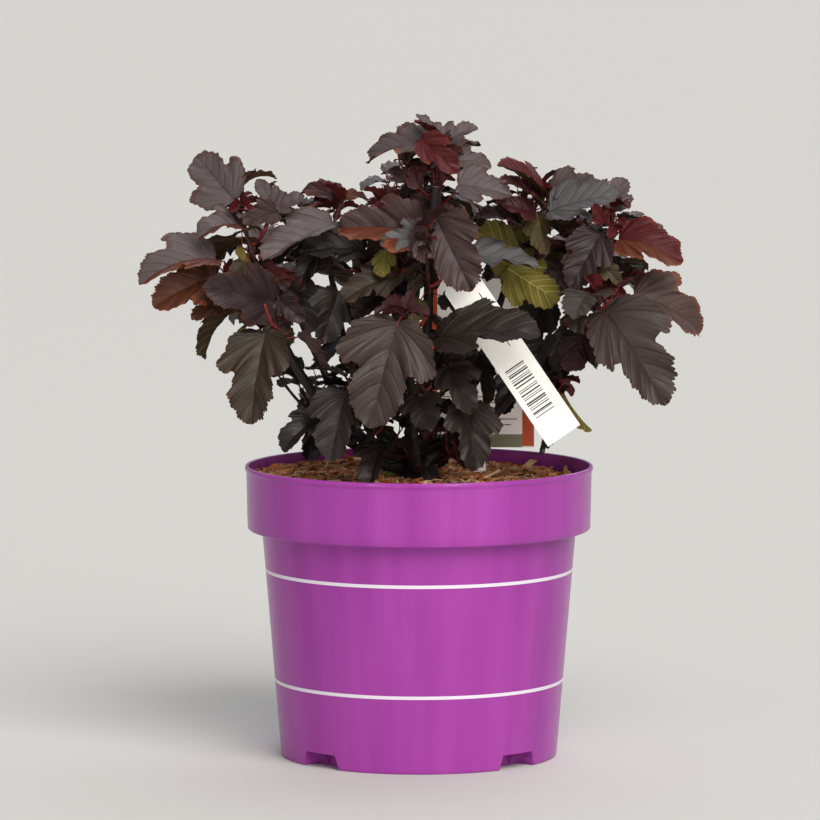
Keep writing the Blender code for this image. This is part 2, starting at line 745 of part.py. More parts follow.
def twig_shape(points, radii):
    """A three-sided tube round a twig, for telling whether it is clear of others."""
    direction = unit(points[-1] - points[0])
    side = across(direction, 0) if abs(direction[0]) < 0.9 else across(direction, 90)
    other = np.cross(direction, side)
    corners = []
    for point, radius in zip(points, radii):
        reach = (radius + TWIG_ROOM) * MM
        for turn in (0, 120, 240):
            angle = math.radians(turn)
            corners.append(point + reach * (math.cos(angle) * side + math.sin(angle) * other))
    faces = [(3 * ring + k, 3 * ring + (k + 1) % 3, 3 * ring + 3 + (k + 1) % 3, 3 * ring + 3 + k)
             for ring in range(len(points) - 1) for k in range(3)]
    return np.array(corners), faces


def mass_stem(name, limbs):
    """The main stem of a mass: it leaves its carrier square to it, and leans to its own direction."""
    carrier, share, heading, rise, length = MASSES[name][:5]
    if carrier == "stool":
        start, first = stool_start(heading, share * STOOL_HEIGHT / MM, STEM_RADIUS + STEM_COLLAR)
    else:
        start, first = limb_start(limbs[carrier], share, heading)
    bend = start + first * STRAIGHT_FOOT
    end = start + pointing(heading, rise) * length * MM
    knee = start + first * LEAN * length * MM
    points = arc(bend, knee, end, STEM_POINTS)
    return Limb(start, points, np.linspace(STEM_RADIUS, TWIG_TIP_RADIUS, STEM_POINTS))


def shown_leaf(stem, row):
    """A leaf that is given by hand."""
    share, heading, rise, roll, size, stalk, bend = row
    root = along(stem.points, share)[0]
    base = root + pointing(heading, min(rise + SHOWN_STALK_LIFT, STEEPEST_STALK)) * stalk * MM
    ahead, side, up = leaf_frame(heading, rise, roll)
    bend = math.radians(max(bend, LEAST_BEND))
    fold = math.radians(SHOWN_FOLD)
    return Leaf(root, base, ahead, side, up, size * MM, bend, fold, SHOWN_CURL, BLADE_SECTIONS)


def grown_leaf(stem, share, heading, size, draw):
    """A leaf by the rule: low ones are long and hang, high ones are short and stand up."""
    age = 1 - share
    size = size * (YOUNG_SIZE + (1 - YOUNG_SIZE) * age ** AGE_POWER) * draw.uniform(*SIZES)
    rise = TOP_RISE - RISE_FALL * age ** RISE_POWER + draw.uniform(-RISE_SLACK, RISE_SLACK)
    root = along(stem.points, share)[0]
    base = root + pointing(heading, min(rise + STALK_LIFT, STEEPEST_STALK)) * STALK_SHARE * size * MM
    ahead, side, up = leaf_frame(heading, rise, draw.uniform(-ROLL_SLACK, ROLL_SLACK))
    bend = math.radians(draw.uniform(*BENDS))
    fold = math.radians(draw.uniform(*FOLDS))
    curl = draw.uniform(*CURLS)
    return Leaf(root, base, ahead, side, up, size * MM, bend, fold, curl, PLAIN_SECTIONS)


def take_if_clear(leaf, room, name, twig_number, taken):
    """Whether a leaf touches nothing but the twig that it stands on; if so, its space is taken."""
    shape = leaf_shape(leaf, room * MM, CLEARANCE_GROWTH)
    if taken.touches(*shape, but=((name, twig_number),)):
        return False
    taken.add(*shape, (name, "leaf"))
    return True


def in_space(leaf, stem, reach):
    """Whether a leaf keeps to the space of its mass: a round space about the stem."""
    tip = on_blade(leaf, 1, 0, 0)
    spread = np.linalg.norm(stem.points - tip, axis=1).min()
    return spread < reach


def grow(limbs, taken):
    """Every mass as its stem, twigs and leaves: the shown leaves first, then those by the rule."""
    masses = {}
    for name in MASSES:
        stem = mass_stem(name, limbs)
        masses[name] = {"twigs": [stem], "leaves": []}
        taken.add(*twig_shape(stem.points, stem.radii), (name, 0))
    for name, rows in SHOWN_LEAVES.items():
        for row in rows:
            leaf = shown_leaf(masses[name]["twigs"][0], row)
            if take_if_clear(leaf, SHOWN_CLEARANCE, name, 0, taken):
                masses[name]["leaves"].append(leaf)
    for number, (name, plan) in enumerate(MASSES.items()):
        grow_twigs(name, plan, number, masses[name], taken)
        for twig_number, twig in enumerate(masses[name]["twigs"]):
            count = plan[5] if twig_number == 0 else TWIG_LEAVES
            grow_leaves(name, plan, number, twig_number, twig, count, masses[name], taken)
    return masses


def grow_twigs(name, plan, number, mass, taken):
    """Side twigs that leave the stem by the spiral, each skipped where it would touch something."""
    heading, length, count = plan[2], plan[4], plan[7]
    stem = mass["twigs"][0]
    for order in range(count):
        for attempt in range(LEAF_TRIES):
            draw = random.Random(f"{number} twig {order} {attempt}")
            share = TWIG_FIRST_PLACE + TWIG_PLACES * order / count + draw.uniform(0, TWIG_PLACE_SLACK)
            root = along(stem.points, share)[0]
            turn = heading + TWIG_TURN + SPIRAL_TURN * order + TWIG_TRY_TURN * attempt
            reach = length * draw.uniform(*TWIG_LENGTHS) * MM
            end = root + pointing(turn, draw.uniform(*TWIG_RISES)) * reach
            knee = root + pointing(turn, TWIG_FIRST_RISE) * LEAN * reach
            points = arc(root, knee, end, TWIG_POINTS)
            radii = np.linspace(TWIG_FOOT_SHARE * STEM_RADIUS, TWIG_TIP_RADIUS, TWIG_POINTS)
            twig = Limb(root, points, radii)
            shape = twig_shape(points[1:], twig.radii[1:])
            if not taken.touches(*shape, but=((name, 0),)):
                mass["twigs"].append(twig)
                taken.add(*shape, (name, len(mass["twigs"]) - 1))
                break


def grow_leaves(name, plan, number, twig_number, twig, count, mass, taken):
    """Leaves in a spiral along a twig, each tried a few ways and then skipped."""
    heading, size = plan[2], plan[6]
    if twig_number:
        size = TWIG_LEAF_SHARE * size
    for order in range(count):
        share = FIRST_LEAF_PLACE + (1 - FIRST_LEAF_PLACE) * order / (count - 1)
        for attempt in range(LEAF_TRIES):
            draw = random.Random(f"{number} leaf {twig_number} {order} {attempt}")
            slack = SPIRAL_SLACK * (1 + attempt)
            turn = heading + SPIRAL_TURN * order + TWIG_LEAF_TURN * twig_number + draw.uniform(-slack, slack)
            leaf = grown_leaf(twig, share, turn, size * (1 - TRY_SHRINK * attempt), draw)
            near = in_space(leaf, mass["twigs"][0], MASS_REACH * plan[6] * MM)
            if near and take_if_clear(leaf, CLEARANCE, name, twig_number, taken):
                mass["leaves"].append(leaf)
                break


def make_mass(name, mass, group):
    """The stem of a mass with its twigs and leaves joined to it by one union."""
    stem = mass["twigs"][0]
    body = limb_tube(name, stem, group, 0)
    pieces = [tube("twig", twig.points, twig.radii, group, 0) for twig in mass["twigs"][1:]]
    for leaf in mass["leaves"]:
        points, faces = leaf_shape(leaf)
        pieces.append(new_object("leaf", mesh_from("leaf", points, faces), group))
    body = combine(body, pieces, "UNION", "MANIFOLD")
    keep_main_body(body)
    finish(body, (0.075, 0.06, 0.062), 0.5)
    return body


def card_outline():
    """Outline of the card: a rectangle with round corners over a tapering stake, round the corners."""
    half = CARD_WIDTH / 2
    stake = CARD_STAKE_WIDTH / 2
    outline = [(-stake, 0), (-2, -CARD_STAKE_LENGTH), (2, -CARD_STAKE_LENGTH), (stake, 0)]
    corners = ((half, 0, 270), (half, CARD_HEIGHT, 0), (-half, CARD_HEIGHT, 90), (-half, 0, 180))
    for x, z, first in corners:
        centre_x = x - math.copysign(CARD_CORNER, x)
        centre_z = z + (CARD_CORNER if z == 0 else -CARD_CORNER)
        for step in range(4):
            angle = math.radians(first + 30 * step)
            corner_x = centre_x + CARD_CORNER * math.cos(angle)
            corner_z = centre_z + CARD_CORNER * math.sin(angle)
            outline.append((corner_x, corner_z))
    return outline


def make_card(name, group, room=0.0):
    """The card with its stake, or with a room round it the slot that the stake stands in."""
    curve = bpy.data.curves.new(name, "CURVE")
    curve.dimensions = "2D"
    curve.fill_mode = "BOTH"
    curve.extrude = 0.5 * CARD_THICKNESS * MM + room
    curve.offset = room
    outline = card_outline()
    spline = curve.splines.new("POLY")
    spline.points.add(len(outline) - 1)
    for knot, (x, z) in zip(spline.points, outline):
        knot.co = (x * MM, z * MM, 0, 1)
    spline.use_cyclic_u = True
    card = new_object(name, curve, group)
    card.location = (CARD_PLACE[0] * MM, CARD_PLACE[1] * MM, MIX_TOP + 0.5 * MM)
    card.rotation_euler = (math.radians(90 + CARD_LEAN), 0, 0)
    bpy.context.view_layer.update()
    return bake(card)


def make_tag(limbs, group):
    """A narrow tail that widens into the strip, joined to a band round the middle bough."""
    limb = limbs["bough_middle"]
    place, direction = along(limb.points, TAG_LOOP_PLACE)
    radius = float(np.interp(TAG_LOOP_PLACE, np.linspace(0, 1, len(limb.radii)), limb.radii))
    inner = (radius + TAG_LOOP_ROOM) * MM
    outer = inner + 2 * TAG_THICKNESS * MM
    top = place + across(direction, TAG_HEADING) * 0.5 * (inner + outer)
    foot = vec(TAG_FOOT)
    run = unit(foot - top)
    side = unit(np.cross(run, np.array((0, 1.0, 0))))
    if side[0] > 0:
        side = -side
    shares = (0, 0.17, 0.22, 0.4, 0.6, 0.8, 1)
    widths = (TAG_TAIL_WIDTH, TAG_TAIL_WIDTH, TAG_WIDTH, TAG_WIDTH, TAG_WIDTH, TAG_WIDTH, TAG_WIDTH)
    bow = unit(np.cross(side, run))
    points = []
    for share, width in zip(shares, widths):
        middle = top + share * (foot - top) + bow * TAG_BOW * MM * math.sin(math.pi * share)
        points += [middle - side * 0.5 * width * MM, middle + side * 0.5 * width * MM]
    faces = [(2 * i, 2 * i + 1, 2 * i + 3, 2 * i + 2) for i in range(len(shares) - 1)]
    strip = new_object("tag", mesh_from("tag", points, faces), group)
    wall = strip.modifiers.new("wall", "SOLIDIFY")
    wall.thickness = TAG_THICKNESS * MM
    wall.offset = 0
    bpy.context.view_layer.update()
    strip = bake(strip)
    half = TAG_LOOP_HALF_WIDTH * MM
    band = turned("band", [(inner, half), (outer, half), (outer, -half), (inner, -half), (inner, half)],
                  TAG_LOOP_STEPS, group)
    turn = Vector((0, 0, 1)).rotation_difference(Vector(direction)).to_matrix().to_4x4()
    band.data.transform(Matrix.Translation(Vector(place)) @ turn)
    tag = combine(strip, [band], "UNION")
    finish(tag, (0.78, 0.76, 0.72), 0.45)
    return tag


def main():
    clear_scene()
    group = new_group("ninebark_shrub")
    pot = make_pot(group)
    mix = make_mix(group)
    stool = make_stool(group)
    limbs, boughs = make_boughs(group)
    card = make_card("label_card", group)
    finish(card, (0.75, 0.66, 0.64), 0.5)
    tag = make_tag(limbs, group)
    taken = Taken()
    for solid in [pot, mix, stool, card, tag] + boughs:
        taken.add(*solid_faces(solid), "solid")
    masses = grow(limbs, taken)
    for name, mass in masses.items():
        make_mass(name, mass, group)
    return limbs, masses


result = main()
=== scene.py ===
"""Looks of a young dark-leaved ninebark in its violet nursery pot.

Metres, +Z up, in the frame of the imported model: the origin is the middle of the pot's flat underside, and
the photograph looks along +Y. Tables are in millimetres and degrees. A heading is a compass angle seen
from above: 0 is +X, 90 is +Y, away from the viewer. Shapes are worked out as whole numpy arrays.
"""

import math
import random
from collections import namedtuple

import bpy
import numpy as np
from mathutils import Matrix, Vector
from mathutils.bvhtree import BVHTree


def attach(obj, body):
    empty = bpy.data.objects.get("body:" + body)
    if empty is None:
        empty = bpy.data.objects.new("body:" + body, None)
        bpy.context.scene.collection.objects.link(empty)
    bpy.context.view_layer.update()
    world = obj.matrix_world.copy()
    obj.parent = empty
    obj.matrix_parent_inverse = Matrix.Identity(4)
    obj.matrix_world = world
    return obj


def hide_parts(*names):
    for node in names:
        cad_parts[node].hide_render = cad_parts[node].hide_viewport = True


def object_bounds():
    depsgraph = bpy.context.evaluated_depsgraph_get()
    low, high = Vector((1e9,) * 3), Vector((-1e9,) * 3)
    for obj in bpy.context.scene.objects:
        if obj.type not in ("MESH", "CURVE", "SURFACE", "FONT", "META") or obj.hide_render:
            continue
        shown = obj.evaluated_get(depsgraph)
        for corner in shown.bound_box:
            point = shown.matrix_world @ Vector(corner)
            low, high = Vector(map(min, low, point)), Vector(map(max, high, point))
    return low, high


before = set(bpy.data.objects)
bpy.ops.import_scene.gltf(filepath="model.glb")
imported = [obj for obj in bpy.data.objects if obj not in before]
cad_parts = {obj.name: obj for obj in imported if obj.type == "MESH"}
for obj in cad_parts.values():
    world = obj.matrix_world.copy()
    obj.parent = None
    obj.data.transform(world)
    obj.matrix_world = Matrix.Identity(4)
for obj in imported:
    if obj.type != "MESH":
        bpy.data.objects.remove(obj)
CAD_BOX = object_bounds()

MM = 0.001
GAP = 0.3 * MM
TAU = 2 * math.pi

# Potting mix: fills the pot to a low dome under the rim.
MIX_TOP = 165 * MM
MIX_DOME = 3.5 * MM

# Stool: the short cut-back stock that every bough leaves from, flared at the ground.
STOOL_HEIGHT = 27 * MM
STOOL_FLARE_RADIUS = 15 * MM
STOOL_WAIST_RADIUS = 9.5 * MM
STOOL_HEAD_RADIUS = 11 * MM

# Boughs from the stool: heading and height where they leave it (a height of None is its top, at the
# given heading from its middle), foot and tip radius, the knee they lean to and the tip.
BOUGH_FLARE = 0.9
BOUGH_FLARE_RUN = 5 * MM
BOUGH_LEAD = 0.35
BOUGH_POINTS = 9
BOUGH_TOP_OFFSET = 5.4 * MM
LIMB_ROOM = 1.1
STRAIGHT_FOOT = 1.5 * MM
BOUGHS = {
    "bough_middle": (320, None, 3.3, 2.5, (3, -8, 262), (10, -8, 342)),
    "bough_middle_left": (150, None, 3.2, 2.4, (-17, 5, 265), (-6, 8, 350)),
    "bough_left": (185, 20, 3.2, 1.9, (-74, -6, 212), (-96, -12, 292)),
    "bough_left_inner": (150, 21, 2.8, 1.7, (-42, 16, 222), (-53, 14, 288)),
    "bough_left_low": (203, 9, 2.8, 1.6, (-50, -18, 190), (-79, -26, 246)),
    "bough_right": (350, 20, 3.3, 2.0, (66, -6, 232), (103, -8, 281)),
    "bough_right_inner": (35, 21, 2.9, 1.7, (34, 18, 235), (62, 16, 308)),
    "bough_front": (268, 9, 2.6, 1.6, (-4, -42, 195), (-6, -40, 250)),
    "bough_back": (100, 19, 3.0, 1.8, (-9, 54, 222), (2, 68, 300)),
    "bough_back_left": (135, 8, 2.8, 1.7, (-46, 66, 195), (-74, 80, 258)),
}

# Boughs from another bough: which, how far along it, heading, then foot and tip radius, knee and tip.
SIDE_BOUGHS = {
    "bough_right_low": ("bough_right", 0.62, 300, 2.0, 1.5, (88, -30, 236), (99, -34, 256)),
    "bough_back_right": ("bough_back", 0.5, 50, 2.3, 1.6, (44, 82, 232), (80, 84, 268)),
}

# Masses of foliage, by their nodes' names after foliage_: the bough or stool that carries them, how far
# along it (1 is its tip), heading, rise and length of the main stem, count of leaves, blade length, count of
# side twigs and palette.
MASSES = {
    "top": ("bough_middle", 0.93, 75, 78, 42, 5, 40, 1, "high"),
    "top_left": ("bough_middle_left", 0.84, 240, 50, 24, 4, 46, 1, "high"),
    "centre": ("bough_middle", 0.70, 268, 60, 44, 5, 48, 1, "deep"),
    "centre_left": ("bough_middle_left", 0.68, 210, 18, 26, 4, 50, 1, "deep"),
    "left_top": ("bough_left", 1.0, 160, 72, 46, 5, 44, 1, "high"),
    "left_outer": ("bough_left", 0.88, 190, 45, 34, 4, 46, 0, "middle"),
    "left_low": ("bough_left_low", 1.0, 150, 78, 46, 4, 50, 1, "middle"),
    "left_inner": ("bough_left_inner", 1.0, 60, 75, 42, 6, 48, 1, "middle"),
    "front": ("bough_front", 1.0, 255, 55, 24, 4, 50, 1, "deep"),
    "front_low": ("bough_front", 0.76, 275, 10, 16, 3, 42, 0, "low"),
    "front_right": ("bough_middle", 0.42, 290, 14, 42, 4, 50, 1, "low"),
    "right_inner": ("bough_right_inner", 1.0, 20, 68, 32, 5, 44, 1, "high"),
    "right_centre": ("bough_right_inner", 0.93, 330, 30, 22, 5, 46, 1, "olive"),
    "right_top": ("bough_right", 1.0, 40, 72, 52, 5, 44, 1, "high"),
    "right_outer": ("bough_right", 0.86, 350, 42, 42, 5, 48, 1, "middle"),
    "right_low": ("bough_right_low", 1.0, 310, 65, 28, 5, 50, 1, "middle"),
    "right_under": ("bough_right", 0.54, 325, 8, 30, 4, 40, 0, "olive"),
    "low_left": ("stool", 0.55, 226, 46, 70, 4, 46, 0, "low"),
    "low_right": ("stool", 0.45, 316, 57, 50, 4, 44, 0, "low"),
    "low_back": ("stool", 0.45, 70, 50, 36, 5, 50, 1, "low"),
    "back": ("bough_back", 1.0, 80, 75, 44, 8, 54, 1, "high"),
    "back_middle": ("bough_back", 0.6, 150, 30, 36, 6, 54, 1, "low"),
    "back_left": ("bough_back_left", 1.0, 130, 60, 46, 8, 54, 1, "high"),
    "back_left_low": ("bough_back_left", 0.62, 165, 25, 40, 6, 54, 1, "low"),
    "back_right": ("bough_back_right", 1.0, 55, 60, 46, 8, 54, 1, "high"),
    "back_right_low": ("bough_back_right", 0.5, 350, 10, 44, 7, 54, 1, "low"),
}

# The leaves that show best: place along the stem of their mass, heading, rise and roll of the blade,
# its length, the length of its stalk, and how far the blade bends down from its foot to its tip.
SHOWN_LEAVES = {
    "top": (
        (0.88, 186, 24, -31, 45, 6, 72, "grey/orange_edge"),
        (1.00, 170, 60, -30, 20, 3, 20, "grey"),
        (0.95, 5, 35, 45, 24, 5, 30, "grey"),
        (0.78, 0, 10, 40, 26, 9, 45, "grey"),
    ),
    "left_outer": ((0.30, 215, -70, 180, 20, 10, 20, "olive"),),
    "left_low": ((0.42, 240, -60, -8, 56, 12, 30, "olive_grey"),),
    "left_inner": (
        (1.00, 176, 45, -30, 32, 5, 100, "dark_red"),
        (1.00, 350, 40, 30, 18, 4, 90, "bronze"),
    ),
    "front": ((1.00, 230, -66, -35, 66, 6, 15, "hero"),),
    "front_right": ((0.58, 305, -42, 25, 34, 6, 30, "dark"),),
    "low_left": (
        (0.96, 240, -58, -15, 44, 6, 25, "dark"),
        (0.15, 213, -6, -10, 34, 28, 8, "dark"),
    ),
    "low_right": ((0.98, 285, -58, 0, 42, 6, 25, "dark"),),
    "right_inner": (
        (0.35, 183, 32, -40, 18, 8, 30, "red"),
        (0.10, 180, 25, -20, 28, 12, 70, "purple"),
    ),
    "right_top": ((0.90, 60, 60, 30, 24, 4, 20, "grey"),),
    "right_low": (
        (0.70, 327, -48, 42, 68, 5, 20, "hero"),
        (0.10, 230, -60, 150, 28, 6, 30, "maroon"),
    ),
    "right_outer": ((0.80, 356, -12, 45, 50, 14, 45, "orange_edge"),),
    "right_under": ((1.00, 335, -60, 180, 28, 4, 20, "olive"),),
}

# Leaves that stand more exactly than the rows above: their mass, how far up its stem the stalk leaves it,
# where the blade starts, heading, rise and roll of the blade, its length, bend and colour.
PLACED_LEAVES = (
    ("top", 0.95, (1, -14, 371), 335, -36, 62, 30, 25, "red"),
    ("top", 0.30, (-8, -6, 346), 150, 40, -50, 15, 30, "maroon"),
    ("top", 0.35, (0, -12, 342), 130, 62, -60, 16, 20, "dark_red"),
    ("top", 0.20, (23, -12, 344), 350, -4, 48, 33, 20, "grey"),
    ("centre", 1.00, (9, -24, 327), 312, -54, 50, 52, 20, "purple_grey"),
    ("centre", 0.85, (30, -12, 302), 352, -2, 22, 42, 15, "blue_grey"),
    ("centre_left", 0.50, (-20, -14, 305), 250, -62, 170, 19, 20, "olive"),
    ("left_top", 0.70, (-106, -14, 307), 318, -62, 165, 20, 15, "olive"),
    ("right_centre", 0.30, (53, 4, 293), 345, -32, -112, 38, 10, "olive_yellow"),
    ("right_inner", 0.40, (70, 2, 327), 300, -70, 176, 28, 15, "olive_brown"),
    ("right_top", 0.30, (110, -22, 296), 330, -40, 60, 15, 30, "olive"),
    ("right_under", 0.30, (76, 10, 240), 280, -62, 10, 34, 25, "black"),
    ("right_under", 0.20, (56, 14, 228), 250, -50, -10, 26, 25, "black"),
    ("left_inner", 0.85, (-51, -6, 320), 209, -15, -19, 51, 20, "grey"),
    ("left_low", 0.80, (-87, -26, 275), 217, 16, -81, 46, 25, "purple"),
    ("top_left", 0.90, (-1, -12, 315), 220, 17, -70, 51, 60, "purple_grey/orange"),
    ("centre", 0.95, (2, -19, 313), 228, 1, -71, 29, 40, "blue_grey"),
    ("right_top", 0.60, (119, -12, 311), 322, 4, 43, 43, 65, "orange/red"),
    ("left_outer", 1.00, (-121, -19, 300), 208, 9, -26, 51, 50, "grey/orange"),
    ("left_outer", 0.80, (-121, -20, 289), 215, -7, -46, 43, 45, "bronze"),
    ("right_inner", 0.90, (78, 0, 327), 333, 23, 44, 46, 25, "blue_grey"),
    ("right_top", 0.70, (108, -16, 315), 217, -52, -44, 38, 20, "purple"),
    ("right_centre", 0.30, (70, 13, 294), 193, 33, 89, 45, 20, "olive"),
    ("right_inner", 1.00, (80, 12, 339), 336, 14, 57, 30, 30, "grey"),
    ("left_top", 0.90, (-110, -14, 335), 138, 38, -58, 45, 15, "grey"),
    ("front_right", 0.80, (11, -44, 255), 332, 18, 30, 65, 30, "dark"),
    ("right_inner", 0.95, (74, 8, 336), 220, 50, -35, 37, 35, "red/bronze"),
    ("right_inner", 0.85, (73, 4, 333), 222, 38, -35, 33, 30, "dark_red/bronze"),
    ("right_inner", 0.50, (60, 0, 320), 218, 28, -35, 29, 40, "maroon"),
    ("right_inner", 0.85, (69, -3, 326), 215, 25, -58, 23, 30, "dark_red"),
    ("right_centre", 0.30, (77, 26, 273), 201, -61, -71, 37, 20, "dark"),
    ("right_under", 0.20, (76, 16, 248), 193, -57, -79, 41, 20, "black"),
    ("right_outer", 0.10, (96, -10, 253), 218, -35, -58, 26, 25, "dark"),
    ("left_top", 0.90, (-87, -6, 332), 189, 57, -86, 18, 10, "grey"),
    ("left_top", 0.85, (-84, -8, 330), 335, 28, 71, 18, 20, "grey"),
    ("left_top", 0.75, (-85, -14, 328), 222, -8, -59, 24, 25, "purple_grey"),
    ("left_top", 0.65, (-106, -16, 318), 232, 32, -38, 32, 95, "grey/bronze"),
    ("left_top", 0.30, (-104, -25, 299), 233, -53, -39, 19, 20, "olive_brown"),
    ("left_outer", 0.40, (-116, -24, 273), 215, -6, -29, 23, 30, "bronze"),
    ("left_inner", 0.45, (-32, 4, 304), 204, 10, -41, 41, 30, "dark"),
    ("centre_left", 0.40, (-14, -14, 290), 206, -10, -34, 37, 30, "olive_grey"),
    ("right_top", 0.95, (110, -19, 322), 221, 55, -121, 14, 10, "red"),
    ("right_top", 0.35, (107, -9, 298), 215, 7, -64, 25, 25, "purple_grey"),
    ("left_inner", 0.10, (-48, -2, 280), 236, -61, -48, 34, 20, "dark"),
    ("centre_left", 0.60, (-19, -2, 282), 217, -28, -49, 29, 25, "dark"),
    ("left_low", 0.90, (-84, -24, 277), 317, -30, 56, 23, 20, "purple"),
    ("left_low", 0.50, (-79, -23, 263), 216, -24, -47, 19, 15, "purple_grey"),
    ("low_left", 0.60, (-58, -34, 203), 229, 11, -28, 33, 100, "black"),
    ("centre", 0.30, (1, -18, 276), 205, -60, 116, 21, 20, "olive_brown"),
    ("centre", 0.15, (14, -13, 278), 322, -28, 45, 20, 20, "dark"),
    ("front_right", 0.50, (7, -26, 233), 341, 24, 88, 31, 20, "black"),
    ("top", 0.05, (8, 8, 331), 219, -16, -56, 26, 20, "purple_grey"),
)

# Twigs: radii, then the lean, length and rise of the side twigs against their stem.
STEM_RADIUS = 1.5
STEM_COLLAR = 0.4
STEM_POINTS = 5
TWIG_TIP_RADIUS = 0.8
TWIG_FOOT_SHARE = 0.75
TWIG_POINTS = 4
TWIG_FIRST_PLACE = 0.3
TWIG_PLACES = 0.35
TWIG_PLACE_SLACK = 0.1
TWIG_TURN = 72
TWIG_TRY_TURN = 30
TWIG_LENGTHS = (0.56, 0.8)
TWIG_RISES = (30, 55)
TWIG_FIRST_RISE = 10
TWIG_LEAVES = 3
TWIG_LEAF_SHARE = 0.82
TWIG_LEAF_TURN = 37
LEAN = 0.45

# Leaves: they stand in a spiral of two turns for five leaves. Shares are of the blade's length, and the
# pairs are the least and the most of what is drawn for each leaf.
SPIRAL_TURN = 144
SPIRAL_SLACK = 18
FIRST_LEAF_PLACE = 0.22
YOUNG_SIZE = 0.55
AGE_POWER = 0.6
SIZES = (0.85, 1.12)
TRY_SHRINK = 0.04
TOP_RISE = 42
RISE_FALL = 78
RISE_POWER = 0.7
RISE_SLACK = 16
ROLL_SLACK = 26
BENDS = (22, 75)
FOLDS = (4, 24)
CURLS = (0.02, 0.3)
SHOWN_FOLD = 14
SHOWN_CURL = 0.12
LEAST_BEND = 5
STALK_SHARE = 0.34
STALK_LIFT = 45
SHOWN_STALK_LIFT = 30
STEEPEST_STALK = 60
STALK_RADIUS = 0.75
FULL_STALK_BLADE = 45
BLADE_THICKNESS = 0.016
BLADE_FOOT_THICKNESS = 1.15

# Room kept round twigs and leaves, how far a leaf may stand from the stem of its mass in blade lengths,
# and how many ways a leaf is tried.
TWIG_ROOM = 0.4
CLEARANCE = 0.8
SHOWN_CLEARANCE = 0.4
PLACED_CLEARANCE = -0.2
CLEARANCE_GROWTH = 1.04
STALK_ROOM_START = 2.5
MASS_REACH = 1.45
LEAF_TRIES = 7

# Sections of a blade from its stalk to its tip, in blade lengths: where the midrib is, then where the
# margin is along and across the blade. In the full rows the third is the tip of the side lobe and the
# fourth the notch beside it; the leaves that the rule adds have the plain rows, a broad pointed oval.
BLADE_SECTIONS = (
    (0.16, 0.16, 0.31),
    (0.34, 0.37, 0.44),
    (0.47, 0.60, 0.41),
    (0.56, 0.57, 0.24),
    (0.78, 0.79, 0.20),
)
PLAIN_SECTIONS = (
    (0.22, 0.20, 0.37),
    (0.56, 0.60, 0.36),
)

Plan = namedtuple("Plan", "carrier share heading rise length leaves blade twigs palette")
Leaf = namedtuple("Leaf", "root base ahead side up size bend fold curl sections")
Limb = namedtuple("Limb", "foot points radii")


def vec(triple):
    """A place given in millimetres, in metres."""
    return np.array(triple, dtype=float) * MM


def unit(vector):
    """The vector at length one."""
    return vector / np.linalg.norm(vector)


def pointing(heading, rise):
    """Unit vector at a compass heading and a rise above level."""
    turn = math.radians(heading)
    lift = math.radians(rise)
    return np.array((math.cos(lift) * math.cos(turn), math.cos(lift) * math.sin(turn), math.sin(lift)))


def arc(start, knee, end, count):
    """Points on the quadratic curve from start to end that leans towards the knee."""
    t = np.linspace(0, 1, count)[:, None]
    return (1 - t) ** 2 * start + 2 * t * (1 - t) * knee + t ** 2 * end


def along(points, share):
    """The place and direction at a share of the way along a row of points."""
    spot = share * (len(points) - 1)
    first = min(int(spot), len(points) - 2)
    step = points[first + 1] - points[first]
    return points[first] + (spot - first) * step, unit(step)


def across(direction, heading):
    """Unit vector square to a direction, on the side of a compass heading."""
    wanted = pointing(heading, 0)
    return unit(wanted - np.dot(wanted, direction) * direction)


def stool_radius(height):
    """Radius of the stool at a height above its cut: a flare, a waist and a swollen head."""
    levels = (0, 0.12 * STOOL_HEIGHT, 0.35 * STOOL_HEIGHT, 0.75 * STOOL_HEIGHT, STOOL_HEIGHT)
    radii = (STOOL_FLARE_RADIUS, 0.85 * STOOL_FLARE_RADIUS, STOOL_WAIST_RADIUS + 0.5 * MM,
             STOOL_HEAD_RADIUS, STOOL_HEAD_RADIUS)
    return float(np.interp(height, levels, radii))


def limb_radii(points, foot, tip):
    """Radii along a limb: an even taper, and a flare over its first few millimetres."""
    steps = np.linalg.norm(np.diff(points, axis=0), axis=1)
    run = np.concatenate(([0], np.cumsum(steps)))
    share = run / run[-1]
    return foot + (tip - foot) * share + BOUGH_FLARE * np.exp(-run / BOUGH_FLARE_RUN)


def stool_start(heading, height, radius):
    """Where a limb leaves the stool, and its first direction: square to the flank or to the top."""
    foot = MIX_TOP + GAP
    if height is None:
        out = pointing(heading, 0) * BOUGH_TOP_OFFSET
        return out + np.array((0, 0, foot + STOOL_HEIGHT + GAP)), np.array((0, 0, 1.0))
    span = np.linspace(-1, 1, 5) * radius * MM + height * MM
    widest = max(stool_radius(level) for level in span)
    out = pointing(heading, 0)
    return out * (widest + GAP) + np.array((0, 0, foot + height * MM)), out


def limb_start(limb, share, heading):
    """Where a side limb leaves another limb, and its first direction: square to that limb."""
    place, direction = along(limb.points, share)
    if share >= 1:
        return place + GAP * direction, direction
    radius = float(np.interp(share, np.linspace(0, 1, len(limb.radii)), limb.radii)) * MM
    out = across(direction, heading)
    return place + out * (radius * LIMB_ROOM + GAP), out


def bent_limb(start, first, knee, end, foot, tip):
    """A limb from start to end: a short straight foot, so that its cut end is square, then a bend.

    The bend leaves along the first direction and leans towards the knee.
    """
    bend = start + first * STRAIGHT_FOOT
    lead = bend + first * BOUGH_LEAD * np.linalg.norm(knee - bend)
    t = np.linspace(0, 1, BOUGH_POINTS)[:, None]
    points = (1 - t) ** 3 * bend + 3 * t * (1 - t) ** 2 * lead + 3 * t ** 2 * (1 - t) * knee + t ** 3 * end
    return Limb(start, points, limb_radii(points, foot, tip))


